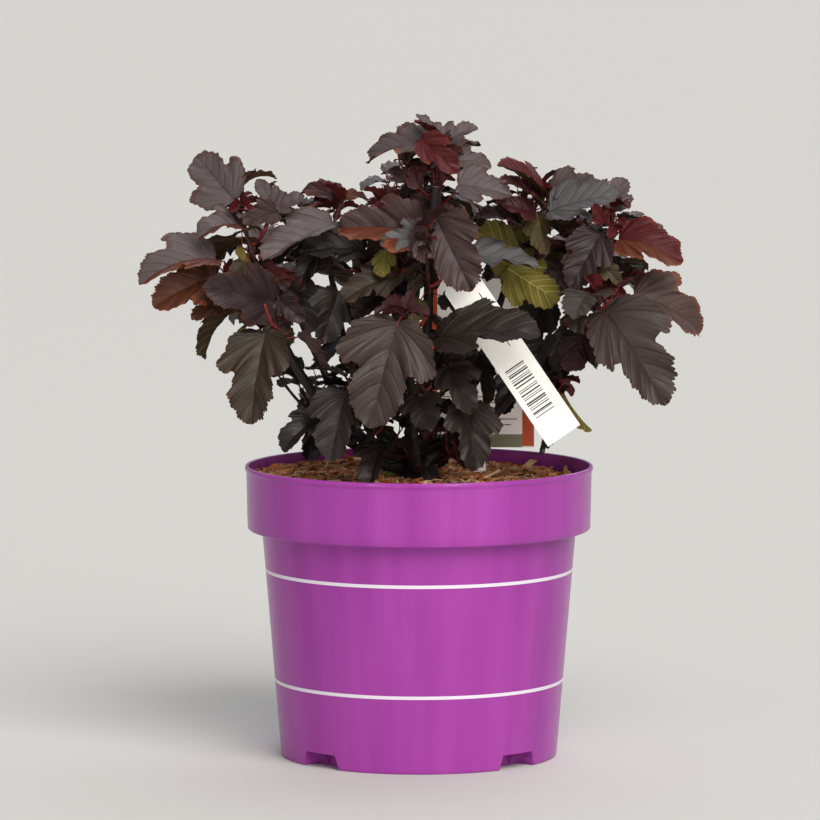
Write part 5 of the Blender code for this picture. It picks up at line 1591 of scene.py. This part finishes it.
def make_pot(skins):
    """The moulded pot: one closed profile turned on finely spaced headings, notched at its foot.

    The profile runs from the middle of the underside out, up the wall, over the rolled lip and down the
    inside to the middle of the floor. Rows low on the foot are lifted to the roof of the notches.
    """
    step = POT_HEIGHT - POT_COLLAR_HEIGHT
    marks = [edge for height, width in POT_RINGS
             for edge in ((height - width / 2) * MM, (height + width / 2) * MM)]
    levels = [height * MM for height in (1.0, 3, 6, 9.2, 20, 34, 60, 80, 97, 125)]
    wall_heights = sorted(levels + [step - 3 * MM] + marks)
    wall = [(np.interp(h, (MM, step - 0.8 * MM), (POT_FOOT_RADIUS, POT_NECK_RADIUS)), h)
            for h in wall_heights]
    rim, lip, top = POT_RIM_RADIUS, POT_RIM_RADIUS + POT_LIP, POT_HEIGHT
    near = POT_FOOT_RADIUS - NOTCH_DEPTH
    outer = [(0.02 * MM, 0), (40 * MM, 0), (near - 0.3 * MM, 0), (near + 0.1 * MM, 0), (near + 6 * MM, 0),
             (POT_FOOT_RADIUS - 1.0 * MM, 0), (POT_FOOT_RADIUS - 0.3 * MM, 0.3 * MM)] + wall + [
        (POT_NECK_RADIUS, step - 1.6 * MM), (POT_NECK_RADIUS + 0.7 * MM, step - 0.85 * MM),
        (rim - 3.2 * MM, step - 0.35 * MM), (rim - 1.7 * MM, step - 0.1 * MM),
        (rim - 1.1 * MM, step + 0.35 * MM), (rim - 0.8 * MM, step + 1.2 * MM),
        (rim - 0.6 * MM, step + 8 * MM), (rim - 0.35 * MM, step + 22 * MM),
        (rim - 0.1 * MM, top - 4.6 * MM), (rim + 0.05 * MM, top - 3.3 * MM),
        (lip - 0.15 * MM, top - 2.7 * MM),
        (lip, top - 2.0 * MM), (lip, top - 0.9 * MM), (lip - 0.25 * MM, top - 0.3 * MM),
        (lip - 0.8 * MM, top), (rim - 1.0 * MM, top), (rim - 1.45 * MM, top - 0.25 * MM),
        (rim - POT_WALL, top - 0.8 * MM)]
    inner = [(rim - POT_WALL, top - 9 * MM), (rim - POT_WALL, step + POT_WALL),
             (POT_NECK_RADIUS - POT_WALL, step + 0.2 * MM), (POT_FOOT_RADIUS - POT_WALL, 14 * MM),
             (POT_FOOT_RADIUS - POT_WALL, POT_FLOOR), (near - POT_WALL + 0.1 * MM, POT_FLOOR),
             (near - POT_WALL - 0.3 * MM, POT_FLOOR), (40 * MM, POT_FLOOR), (0.02 * MM, POT_FLOOR)]
    profile = np.array(outer + inner)
    fine = np.radians(np.concatenate([np.array(NOTCH_HEADINGS)[:, None] + side * np.arange(7.4, 12.6, 0.35)
                                      for side in (-1, 1)], 1).ravel())
    turns = np.unique(np.round(np.concatenate([np.arange(POT_HEADINGS) * TAU / POT_HEADINGS, fine]), 5))
    radius, height = profile[:, :1], profile[:, 1:]
    row = np.arange(len(profile))[:, None]
    roof = np.where(row >= len(outer), notch_roof(radius, turns, POT_WALL), notch_roof(radius, turns, 0))
    low = height < 12 * MM
    height = np.where(low & (roof > height), roof, height)
    radius = np.broadcast_to(radius, height.shape)
    wall_radius = np.interp(height, (MM, step), (POT_FOOT_RADIUS, POT_NECK_RADIUS))
    on_wall = (row >= UNDERSIDE_ROWS) & (row < len(outer)) & low
    radius = np.where(on_wall & (roof > 0), np.minimum(wall_radius, np.maximum(radius, wall_radius)), radius)
    points = np.stack([radius * np.cos(turns), radius * np.sin(turns), height], -1)
    rows, columns = height.shape
    middle = 0.5 * (profile[:-1, 1] + profile[1:, 1])
    printed = np.zeros(rows - 1, dtype=bool)
    for place, width in POT_RINGS:
        printed |= (np.abs(middle - place * MM) < 0.4 * width * MM) & (np.arange(rows - 1) < len(outer) - 1)
    caps = np.array([(0, 0, 0), (0, 0, POT_FLOOR)])
    joined = Joined("violet_pot")
    plastic, ink = joined.slot(skins["plastic"]), joined.slot(skins["ink"])
    joined.add(np.concatenate([points.reshape(-1, 3), caps]), *tube_faces(rows, columns),
               np.where(np.repeat(printed, columns), ink, plastic), plastic)
    piece = joined.piece(35)
    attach(piece, "root")
    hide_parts("pot")


# Mulch: chips and fibres lie on a loose bed, heaped against the rim at one heading. The chips' colours have
# their shares; pairs are the least and the most that are drawn, and slacks are spreads of a normal draw.
CHIPS = 5600
CHIP_LENGTHS = (1.5, 14)
CHIP_BREADTHS = (0.14, 0.5)
CHIP_TURN_SLACK = (0.32, 0.3)
CHIP_SHAPE_SLACK = 0.22
CHIP_COLOURS = {"chip_rust": 0.26, "chip_brown": 0.34, "chip_dark": 0.16, "chip_tan": 0.14,
                "chip_orange": 0.10}
FIBRES = 500
FIBRE_POINTS = 5
FIBRE_LENGTHS = (5, 16)
FIBRE_HALF = 0.22 * MM
HEAP = 5.0 * MM
HEAP_HEADING = math.radians(150)
BED_RINGS = 43
BED_SIDES = 120
BED_UNDER_STEP = 21

# A box's corners from nought to one, and its faces.
BOX_CORNERS = np.array([(x, y, z) for x in (0, 1) for y in (0, 1) for z in (0, 1)], dtype=float)
BOX_FACES = np.array([(0, 1, 3, 2), (4, 6, 7, 5), (0, 4, 5, 1), (2, 3, 7, 6), (0, 2, 6, 4), (1, 5, 7, 3)])
NO_TRIANGLES = np.zeros((0, 3), int)


def mix_height(radius):
    """Height of the potting mix's low dome."""
    edge = POT_RIM_RADIUS - POT_WALL
    return np.interp(radius, (0, 45 * MM, edge), (MIX_TOP, MIX_TOP - 0.3 * MIX_DOME, MIX_TOP - MIX_DOME))


def bed_height(x, y):
    """Height of the loose bed: the dome, low lumps, and a heap against the rim at the back left."""
    radius = np.hypot(x, y)
    near = np.clip((radius / MM - 45) / 45, 0, 1)
    heap = HEAP * near * near * (3 - 2 * near) * (0.55 + 0.45 * np.cos(np.arctan2(y, x) - HEAP_HEADING))
    lumps = (np.sin(x / MM / 5.1 + 1.7 * np.sin(y / MM / 7.3))
             + np.sin(y / MM / 4.3 + 1.3 * np.sin(x / MM / 6.1))
             + 0.7 * np.sin((x + y) / MM / 2.3))
    return mix_height(radius) + 0.6 * MM + heap + 0.28 * MM * lumps


def make_bed(joined, slot):
    """The bed: a round grid of lumpy height over a flat underside sunk in the mix, joined at its edge."""
    edge = POT_RIM_RADIUS - POT_WALL - 0.5 * MM
    radius = np.linspace(0.4 * MM, edge, BED_RINGS)[:, None]
    turn = (np.arange(BED_SIDES) * TAU / BED_SIDES)[None, :]
    x, y = radius * np.cos(turn), radius * np.sin(turn)
    top = np.stack([x, y, bed_height(x, y)], -1)
    under = np.stack([x, y, mix_height(np.hypot(x, y)) - 0.8 * MM], -1)[::-BED_UNDER_STEP]
    points = np.concatenate([top, under])
    middle = np.array([(0, 0, top[0, :, 2].mean()), (0, 0, under[-1, 0, 2])])
    quads, ends = tube_faces(len(points), BED_SIDES)
    joined.add(np.concatenate([points.reshape(-1, 3), middle]), np.roll(quads[:, ::-1], 1, axis=1),
               np.roll(ends[:, ::-1], 2, axis=1), slot, slot)


def make_chips(joined, skins, draw, edge):
    """Bark chips strewn evenly: boxes bent out of true, each turned, tilted and rolled."""
    radius = edge * np.sqrt(draw.uniform(0, 1, CHIPS))
    turn = draw.uniform(0, TAU, CHIPS)
    length = draw.gamma(3.0, 1.6, CHIPS).clip(*CHIP_LENGTHS) * MM
    broad = length * draw.uniform(*CHIP_BREADTHS, CHIPS)
    thick = (0.4 + 0.09 * length / MM).clip(0.4, 1.3) * MM * draw.uniform(0.6, 1.2, CHIPS)
    radius = np.minimum(radius, edge - 0.42 * length)
    yaw = draw.uniform(0, TAU, CHIPS)
    tilt, roll = (draw.normal(0, slack, CHIPS) for slack in CHIP_TURN_SLACK)
    shape = (BOX_CORNERS - 0.5)[None] * (1 + draw.normal(0, CHIP_SHAPE_SLACK, (CHIPS, 8, 3)))
    shape = shape * np.stack([length, broad, thick], 1)[:, None, :]
    ahead = np.stack([np.cos(yaw) * np.cos(tilt), np.sin(yaw) * np.cos(tilt), np.sin(tilt)], 1)
    level = np.stack([-np.sin(yaw), np.cos(yaw), 0 * yaw], 1)
    up = np.cross(ahead, level)
    side = np.cos(roll)[:, None] * level + np.sin(roll)[:, None] * up
    up = np.cross(ahead, side)
    x, y = radius * np.cos(turn), radius * np.sin(turn)
    lift = draw.uniform(0.0, 1.0, CHIPS) * 1.1 * MM + 0.2 * thick
    place = np.stack([x, y, bed_height(x, y) + lift], 1)
    points = (place[:, None] + shape[..., :1] * ahead[:, None] + shape[..., 1:2] * side[:, None]
              + shape[..., 2:] * up[:, None])
    quads = (BOX_FACES[None] + 8 * np.arange(CHIPS)[:, None, None]).reshape(-1, 4)
    slots = np.array([joined.slot(skins[key]) for key in CHIP_COLOURS])
    kinds = slots[draw.choice(len(slots), CHIPS, p=tuple(CHIP_COLOURS.values()))]
    joined.add(points.reshape(-1, 3), quads, NO_TRIANGLES, np.repeat(kinds, len(BOX_FACES)), 0)


def make_fibres(joined, slot, draw, edge):
    """Three-sided fibres bowed across their length, kept inside the rim; they ride on the chips."""
    turn = draw.uniform(0, TAU, FIBRES)[:, None]
    radius = ((edge - 6 * MM) * np.sqrt(draw.uniform(0, 1, FIBRES)))[:, None]
    yaw = draw.uniform(0, TAU, FIBRES)[:, None]
    length = (draw.uniform(*FIBRE_LENGTHS, FIBRES) * MM)[:, None]
    share = np.linspace(-0.5, 0.5, FIBRE_POINTS)[None]
    ahead = share * length
    aside = draw.normal(0, 0.25, FIBRES)[:, None] * length * (share ** 2 * 4 - 0.3)
    x = radius * np.cos(turn) + ahead * np.cos(yaw) - aside * np.sin(yaw)
    y = radius * np.sin(turn) + ahead * np.sin(yaw) + aside * np.cos(yaw)
    shrink = np.minimum(1, edge / np.hypot(x, y))
    x, y = x * shrink, y * shrink
    z = bed_height(x, y) + 1.0 * MM + draw.uniform(0, 1.2, FIBRES)[:, None] * MM
    z = z + 0.8 * MM * np.sin(share * 5 + yaw)
    line = np.stack([x, y, z], -1)
    side = np.stack([-np.sin(yaw), np.cos(yaw), 0 * yaw], -1) * FIBRE_HALF
    up = np.array((0, 0, 1.4 * FIBRE_HALF))
    points = np.stack([line - side, line + side, line + up], 2)
    last = 3 * FIBRE_POINTS
    first = last * np.arange(FIBRES)[:, None, None]
    quad = np.array([(3 * k + j, 3 * k + (j + 1) % 3, 3 * k + 3 + (j + 1) % 3, 3 * k + 3 + j)
                     for k in range(FIBRE_POINTS - 1) for j in range(3)])
    end = np.array([(2, 1, 0), (last - 3, last - 2, last - 1)])
    joined.add(points.reshape(-1, 3), quad[None] + first, end[None] + first, slot, slot)


def make_mulch(skins):
    """Bark chips, the loose bed that they lie on, and fibres, as one piece."""
    draw = np.random.default_rng(29)
    edge = POT_RIM_RADIUS - POT_WALL - 1.5 * MM
    joined = Joined("mulch")
    make_chips(joined, skins, draw, edge)
    make_bed(joined, joined.slot(skins["bed"]))
    make_fibres(joined, joined.slot(skins["chip_tan"]), draw, edge)
    piece = joined.piece(25)
    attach(piece, "root")


# Card: sizes as in the source; printed marks are plain bands of colour.
CARD_WIDTH = 66
CARD_HEIGHT = 118
CARD_THICKNESS = 0.8
CARD_CORNER = 4
CARD_PLACE = (37, 42)
CARD_LEAN = -4
CARD_FOOT = 15.5
CARD_STAKE_LENGTH = 45
CARD_STAKE_HALF = 3.5
CARD_LOW_CORNER = 0.8
INK_SUNK = 0.02
INK_PROUD = 0.08
CARD_BANDS = (("orange", -33.0, -25.8, CARD_FOOT + CARD_LOW_CORNER, 114.0),
              ("orange", 25.8, 33.0, CARD_FOOT + CARD_LOW_CORNER, 114.0),
              ("olive", -25.8, 25.8, CARD_FOOT, 23.5),
              ("grey", -22.0, 19.0, 29.0, 29.7), ("grey", -22.0, 22.5, 32.4, 33.1),
              ("grey", -22.0, 16.0, 35.8, 36.5), ("grey", -22.0, 21.0, 39.2, 39.9),
              ("grey", -22.0, 18.5, 42.6, 43.3), ("grey", -22.0, 10.0, 46.0, 46.7))


def on_card(across_it, height, out):
    """Places on the leaning card: across it, up it and out of its face to the viewer, in mm."""
    lean = math.radians(90 + CARD_LEAN)
    back = height * math.cos(lean) - out * math.sin(lean) + CARD_PLACE[1]
    rise = height * math.sin(lean) + out * math.cos(lean) + MIX_TOP / MM + 0.5
    return np.stack([across_it + CARD_PLACE[0], back, rise], -1) * MM


def make_card(skins):
    """The card on its tapering stake: its half width by height, as closed rings of four corners.

    The half width takes a quarter circle in each round corner.
    """
    turn = np.radians(np.linspace(0, 90, 8))
    in_from_side, in_from_end = 1 - np.sin(turn), 1 - np.cos(turn)
    height = np.concatenate([(-CARD_STAKE_LENGTH, 0, CARD_FOOT - 0.05),
                             CARD_FOOT + CARD_LOW_CORNER * in_from_end,
                             CARD_HEIGHT - CARD_CORNER * in_from_end[::-1]])
    half = np.concatenate([(2, CARD_STAKE_HALF, CARD_STAKE_HALF),
                           0.5 * CARD_WIDTH - CARD_LOW_CORNER * in_from_side,
                           0.5 * CARD_WIDTH - CARD_CORNER * in_from_side[::-1]])
    deep = 0.5 * CARD_THICKNESS
    rings = np.stack([on_card(side * half, height, out + 0 * half)
                      for side, out in ((-1, deep), (1, deep), (1, -deep), (-1, -deep))], 1)
    last = 4 * len(rings) - 4
    ends = [(3, 2, 1, 0), (last, last + 1, last + 2, last + 3)]
    quads = np.concatenate([tube_faces(len(rings), 4)[0], ends])
    joined = Joined("card")
    slot = joined.slot(skins["card_stock"])
    joined.add(rings.reshape(-1, 3), quads, NO_TRIANGLES, slot, slot)
    piece = joined.piece(30)
    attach(piece, "root")
    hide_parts("label_card")


def make_card_print(skins):
    """Bands of ink on both faces of the card: flat boxes a tenth of a millimetre proud of it."""
    joined = Joined("card_print")
    across_it, up_it, out = BOX_CORNERS.T
    out = 0.5 * CARD_THICKNESS - INK_SUNK + (INK_SUNK + INK_PROUD) * out
    for face in (-1, 1):
        for ink, left, right, low, high in CARD_BANDS:
            points = on_card(left + (right - left) * across_it, low + (high - low) * up_it, face * out)
            slot = joined.slot(skins[f"card_{ink}"])
            joined.add(points, BOX_FACES[:, ::face], NO_TRIANGLES, slot, slot)
    piece = joined.piece(30)
    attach(piece, "root")


# Seedling: a weed's few bright leaves on the mix, as heading, rise and blade length.
SEEDLING_PLACE = (-18, -2, 168)
SEEDLING_LEAVES = ((160, 35, 7), (20, 30, 6), (265, 55, 5), (80, 60, 5))


def make_seedling():
    """A tiny green seedling between the chips: small blades on short stalks from one foot."""
    joined = Joined("seedling")
    foot = vec(SEEDLING_PLACE)
    foot[2] = bed_height(foot[0], foot[1]) - 0.5 * MM
    for order, (heading, rise, size) in enumerate(SEEDLING_LEAVES):
        base = foot + pointing(heading, 60) * 3 * MM + np.array((0, 0, 1.5 * MM))
        leaf = Leaf(foot, base, *leaf_frame(heading, rise, 10), size * MM, 0.7, 0.2, 0.1, BLADE_SECTIONS)
        add_blade(joined, leaf, "young", "seedling", f"seedling {order}")
    piece = joined.piece(50)
    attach(piece, "root")


# Tag: the strip as in the source, and plain marks on its face: from and to along it, as shares of its
# length, and from and to across it in mm.
TAG_FOOT = (86, -44, 197)
TAG_HEADING = 276
TAG_LOOP_PLACE = 0.86
TAG_BOW = 3
TAG_MIDDLE = 0.8
TAG_HALF = 0.2
TAG_SHARES = (0, 0.17, 0.22, 0.4, 0.6, 0.8, 1)
TAG_BARS = (0.640, 0.650, 0.664, 0.672, 0.688, 0.696, 0.706, 0.722, 0.742, 0.750, 0.764, 0.778, 0.786, 0.802,
            0.812, 0.826, 0.834, 0.850, 0.858, 0.872)
TAG_BAR_WIDTHS = (0.8, 0.4, 0.6, 0.9, 0.4, 0.5, 1.0)
TAG_BAR_ENDS = (-8.0, 5.0)
TAG_LINES = ((0.30, 0.44, 5.4, 6.0), (0.48, 0.545, 5.4, 6.0), (0.50, 0.56, 3.2, 3.7))


def make_tag_print(limbs, skins):
    """Plain bars across the tag and thin lines along it: flat boxes just proud of its front."""
    limb = limbs["bough_middle"]
    place, direction = along(limb.points, TAG_LOOP_PLACE)
    radius = float(np.interp(TAG_LOOP_PLACE, np.linspace(0, 1, len(limb.radii)), limb.radii))
    top = place + across(direction, TAG_HEADING) * (radius + TAG_MIDDLE) * MM
    run = unit(vec(TAG_FOOT) - top)
    span = np.linalg.norm(vec(TAG_FOOT) - top)
    side = unit(np.cross(run, np.array((0, 1.0, 0))))
    side = -side if side[0] > 0 else side
    bow = unit(np.cross(side, run))
    front = -bow if bow[1] > 0 else bow
    marks = [(share, share + TAG_BAR_WIDTHS[k % len(TAG_BAR_WIDTHS)] * MM / span, *TAG_BAR_ENDS)
             for k, share in enumerate(TAG_BARS)]
    joined = Joined("tag_print")
    slot = joined.slot(skins["tag_ink"])
    for first, last, left, right in marks + list(TAG_LINES):
        corners = []
        for share in (first, last):
            lift = np.interp(share, TAG_SHARES, [math.sin(math.pi * stop) for stop in TAG_SHARES])
            middle = top + share * span * run + bow * TAG_BOW * MM * lift
            corners += [middle - side * width * MM + front * (TAG_HALF + proud) * MM
                        for width in (left, right) for proud in (-0.1, 0.08)]
        box = np.array(corners)
        outward = np.dot(np.cross(box[4] - box[0], box[2] - box[0]), box[1] - box[0]) > 0
        joined.add(box, BOX_FACES[:, ::1 if outward else -1], NO_TRIANGLES, slot, slot)
    piece = joined.piece(30)
    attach(piece, "root")


def dress_node(name, skin):
    """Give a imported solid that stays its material."""
    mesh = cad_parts[name].data
    mesh.materials.clear()
    mesh.materials.append(skin)


def make_stage():
    """A plain pale floor that fills the view."""
    mesh = bpy.data.meshes.new("floor")
    mesh.from_pydata([(-80, -80, 0), (80, -80, 0), (80, 160, 0), (-80, 160, 0)], [], [(0, 1, 2, 3)])
    skin, tree, shader, place = new_material("floor_paper", "#CDCCC7", 0.85)
    raise_grain(tree, shader, noise(tree, place, 400.0, 2.0), 0.05, 0.2)
    mesh.materials.append(skin)
    floor = put("floor", mesh)


# Lights: their power, angle or size, colour, and the way or place that they shine from.
SUNS = {
    "soft_sun": (2.65, 44, "#FFFCF8", (0.65, -1.5, 1.5)),
    "sky_behind": (1.1, 65, "#F2F6FF", (0.5, 1.5, 1.6)),
}
WINDOWS = {
    "window_left": (11, (0.3, 1.5), "#FAFCFF", (-1.5, -2.5, 0.4)),
    "window_right": (19, (0.4, 1.5), "#FAFCFF", (1.1, -2.8, 0.35)),
}
WINDOW_AIM = Vector((0, 0, 0.2))


def add_light(name, kind, power, colour, away):
    """A light that shines from a way, with the power and colour that it has."""
    lamp = bpy.data.lights.new(name, kind)
    lamp.energy = power
    lamp.color = linear(colour)[:3]
    thing = put(name, lamp)
    thing.rotation_euler = away.to_track_quat("Z", "Y").to_euler()
    return thing


def make_lights():
    """Soft daylight: a pale sky, a broad sun from the front right, a weak one behind, and two windows."""
    world = bpy.data.worlds.new("sky")
    bpy.context.scene.world = world
    world.use_nodes = True
    world.node_tree.nodes["Background"].inputs["Color"].default_value = linear("#F1F1F0")
    world.node_tree.nodes["Background"].inputs["Strength"].default_value = 0.33
    for name, (power, angle, colour, away) in SUNS.items():
        add_light(name, "SUN", power, colour, Vector(away)).data.angle = math.radians(angle)
    for name, (power, size, colour, place) in WINDOWS.items():
        window = add_light(name, "AREA", power, colour, Vector(place) - WINDOW_AIM)
        window.location = place
        window.visible_camera = False
        window.data.shape = "RECTANGLE"
        window.data.size, window.data.size_y = size
    bpy.context.scene.view_settings.view_transform = "Standard"


CAMERA_PITCH = math.radians(5.6)
CAMERA_TARGET = np.array((-0.0054, 0, 0.208))
CAMERA_DISTANCE = 3.540


def make_camera():
    """The photograph's view: a long lens, a little above the pot, tilted 5.6 degrees down."""
    lens = bpy.data.cameras.new("camera")
    lens.lens = 259.0
    lens.sensor_width = 36.0
    lens.clip_end = 500.0
    camera = put("camera", lens)
    ahead = np.array((0, math.cos(CAMERA_PITCH), -math.sin(CAMERA_PITCH)))
    camera.location = tuple(CAMERA_TARGET - CAMERA_DISTANCE * ahead)
    camera.rotation_euler = (math.radians(90) - CAMERA_PITCH, 0, 0)
    bpy.context.scene.camera = camera


def make_skins():
    """The materials that many pieces share, by the names that the pieces know them by."""
    return {
        "bark": bark_material("young_bark", "#150E10", "#2A1C1E", 0.6, 2.2),
        "twig": bark_material("twig_bark", "#2A1416", "#48201F", 0.5, 1.6),
        "shoot": bark_material("red_shoot", "#78211F", "#A8443A", 0.42, 1.4),
        "stalk": bark_material("red_stalk", "#6C1E1D", "#963A30", 0.42, 1.2),
        "stalk_dark": bark_material("dark_stalk", "#2E1A1A", "#4A2C24", 0.5, 1.2),
        "cut": mottled("cut_wood", "#B8A184", "#D8C6A6", 0.8, 0.9, 0.2),
        "plastic": pot_material(),
        "ink": printed_material("ring_ink", "#E2DCE4", 0.4, 0.5),
        "bed": mottled("loose_bed", "#744028", "#A2623E", 0.9, 2.2, 0.8),
        "chip_rust": mottled("chip_rust", "#AC582A", "#CC7C48", 0.85, 2.0, 0.4),
        "chip_brown": mottled("chip_brown", "#965A36", "#BA8056", 0.88, 2.0, 0.4),
        "chip_dark": mottled("chip_dark", "#5A3422", "#7E5236", 0.9, 2.0, 0.4),
        "chip_tan": mottled("chip_tan", "#CEA26E", "#E8CA9A", 0.85, 1.6, 0.3),
        "chip_orange": mottled("chip_orange", "#BC6A3A", "#DC9460", 0.85, 1.8, 0.3),
        # the card stock glows a little: painted light against the shade of the crown and tag
        "card_stock": printed_material("coated_card_stock", "#FBEFEA", 0.5, 0.7, 0.16),
        "card_orange": printed_material("card_orange_ink", "#F2602A", 0.45, 0.6),
        "card_grey": printed_material("card_grey_ink", "#A88880", 0.5, 0.6),
        "tag_ink": printed_material("tag_black_ink", "#2A2624", 0.5, 0.6),
        "card_olive": printed_material("card_olive_ink", "#A8A484", 0.5, 0.6),
    }


def main():
    skins = make_skins()
    dress_node("potting_mix", mottled("damp_mix", "#462814", "#7A4624", 0.92, 3.5, 1.0))
    # the tag film glows a little: painted light that stands in for more front light
    dress_node("tag", printed_material("white_tag_film", "#F6F2EA", 0.42, 0.5, 0.14))
    make_camera()
    make_stage()
    make_lights()
    taken = Taken()
    for name in ["pot", "potting_mix", "stool", "label_card", "tag", *BOUGHS, *SIDE_BOUGHS]:
        taken.add(*node_faces(name), "solid")
    limbs = make_limbs()
    for mass in grow_all(limbs, taken):
        dress_mass(mass, skins)
    for number, (name, limb) in enumerate(limbs.items()):
        make_bough(name, limb, number, skins)
    make_stool(skins)
    make_pot(skins)
    make_mulch(skins)
    make_card(skins)
    make_card_print(skins)
    make_tag_print(limbs, skins)
    make_seedling()


main()
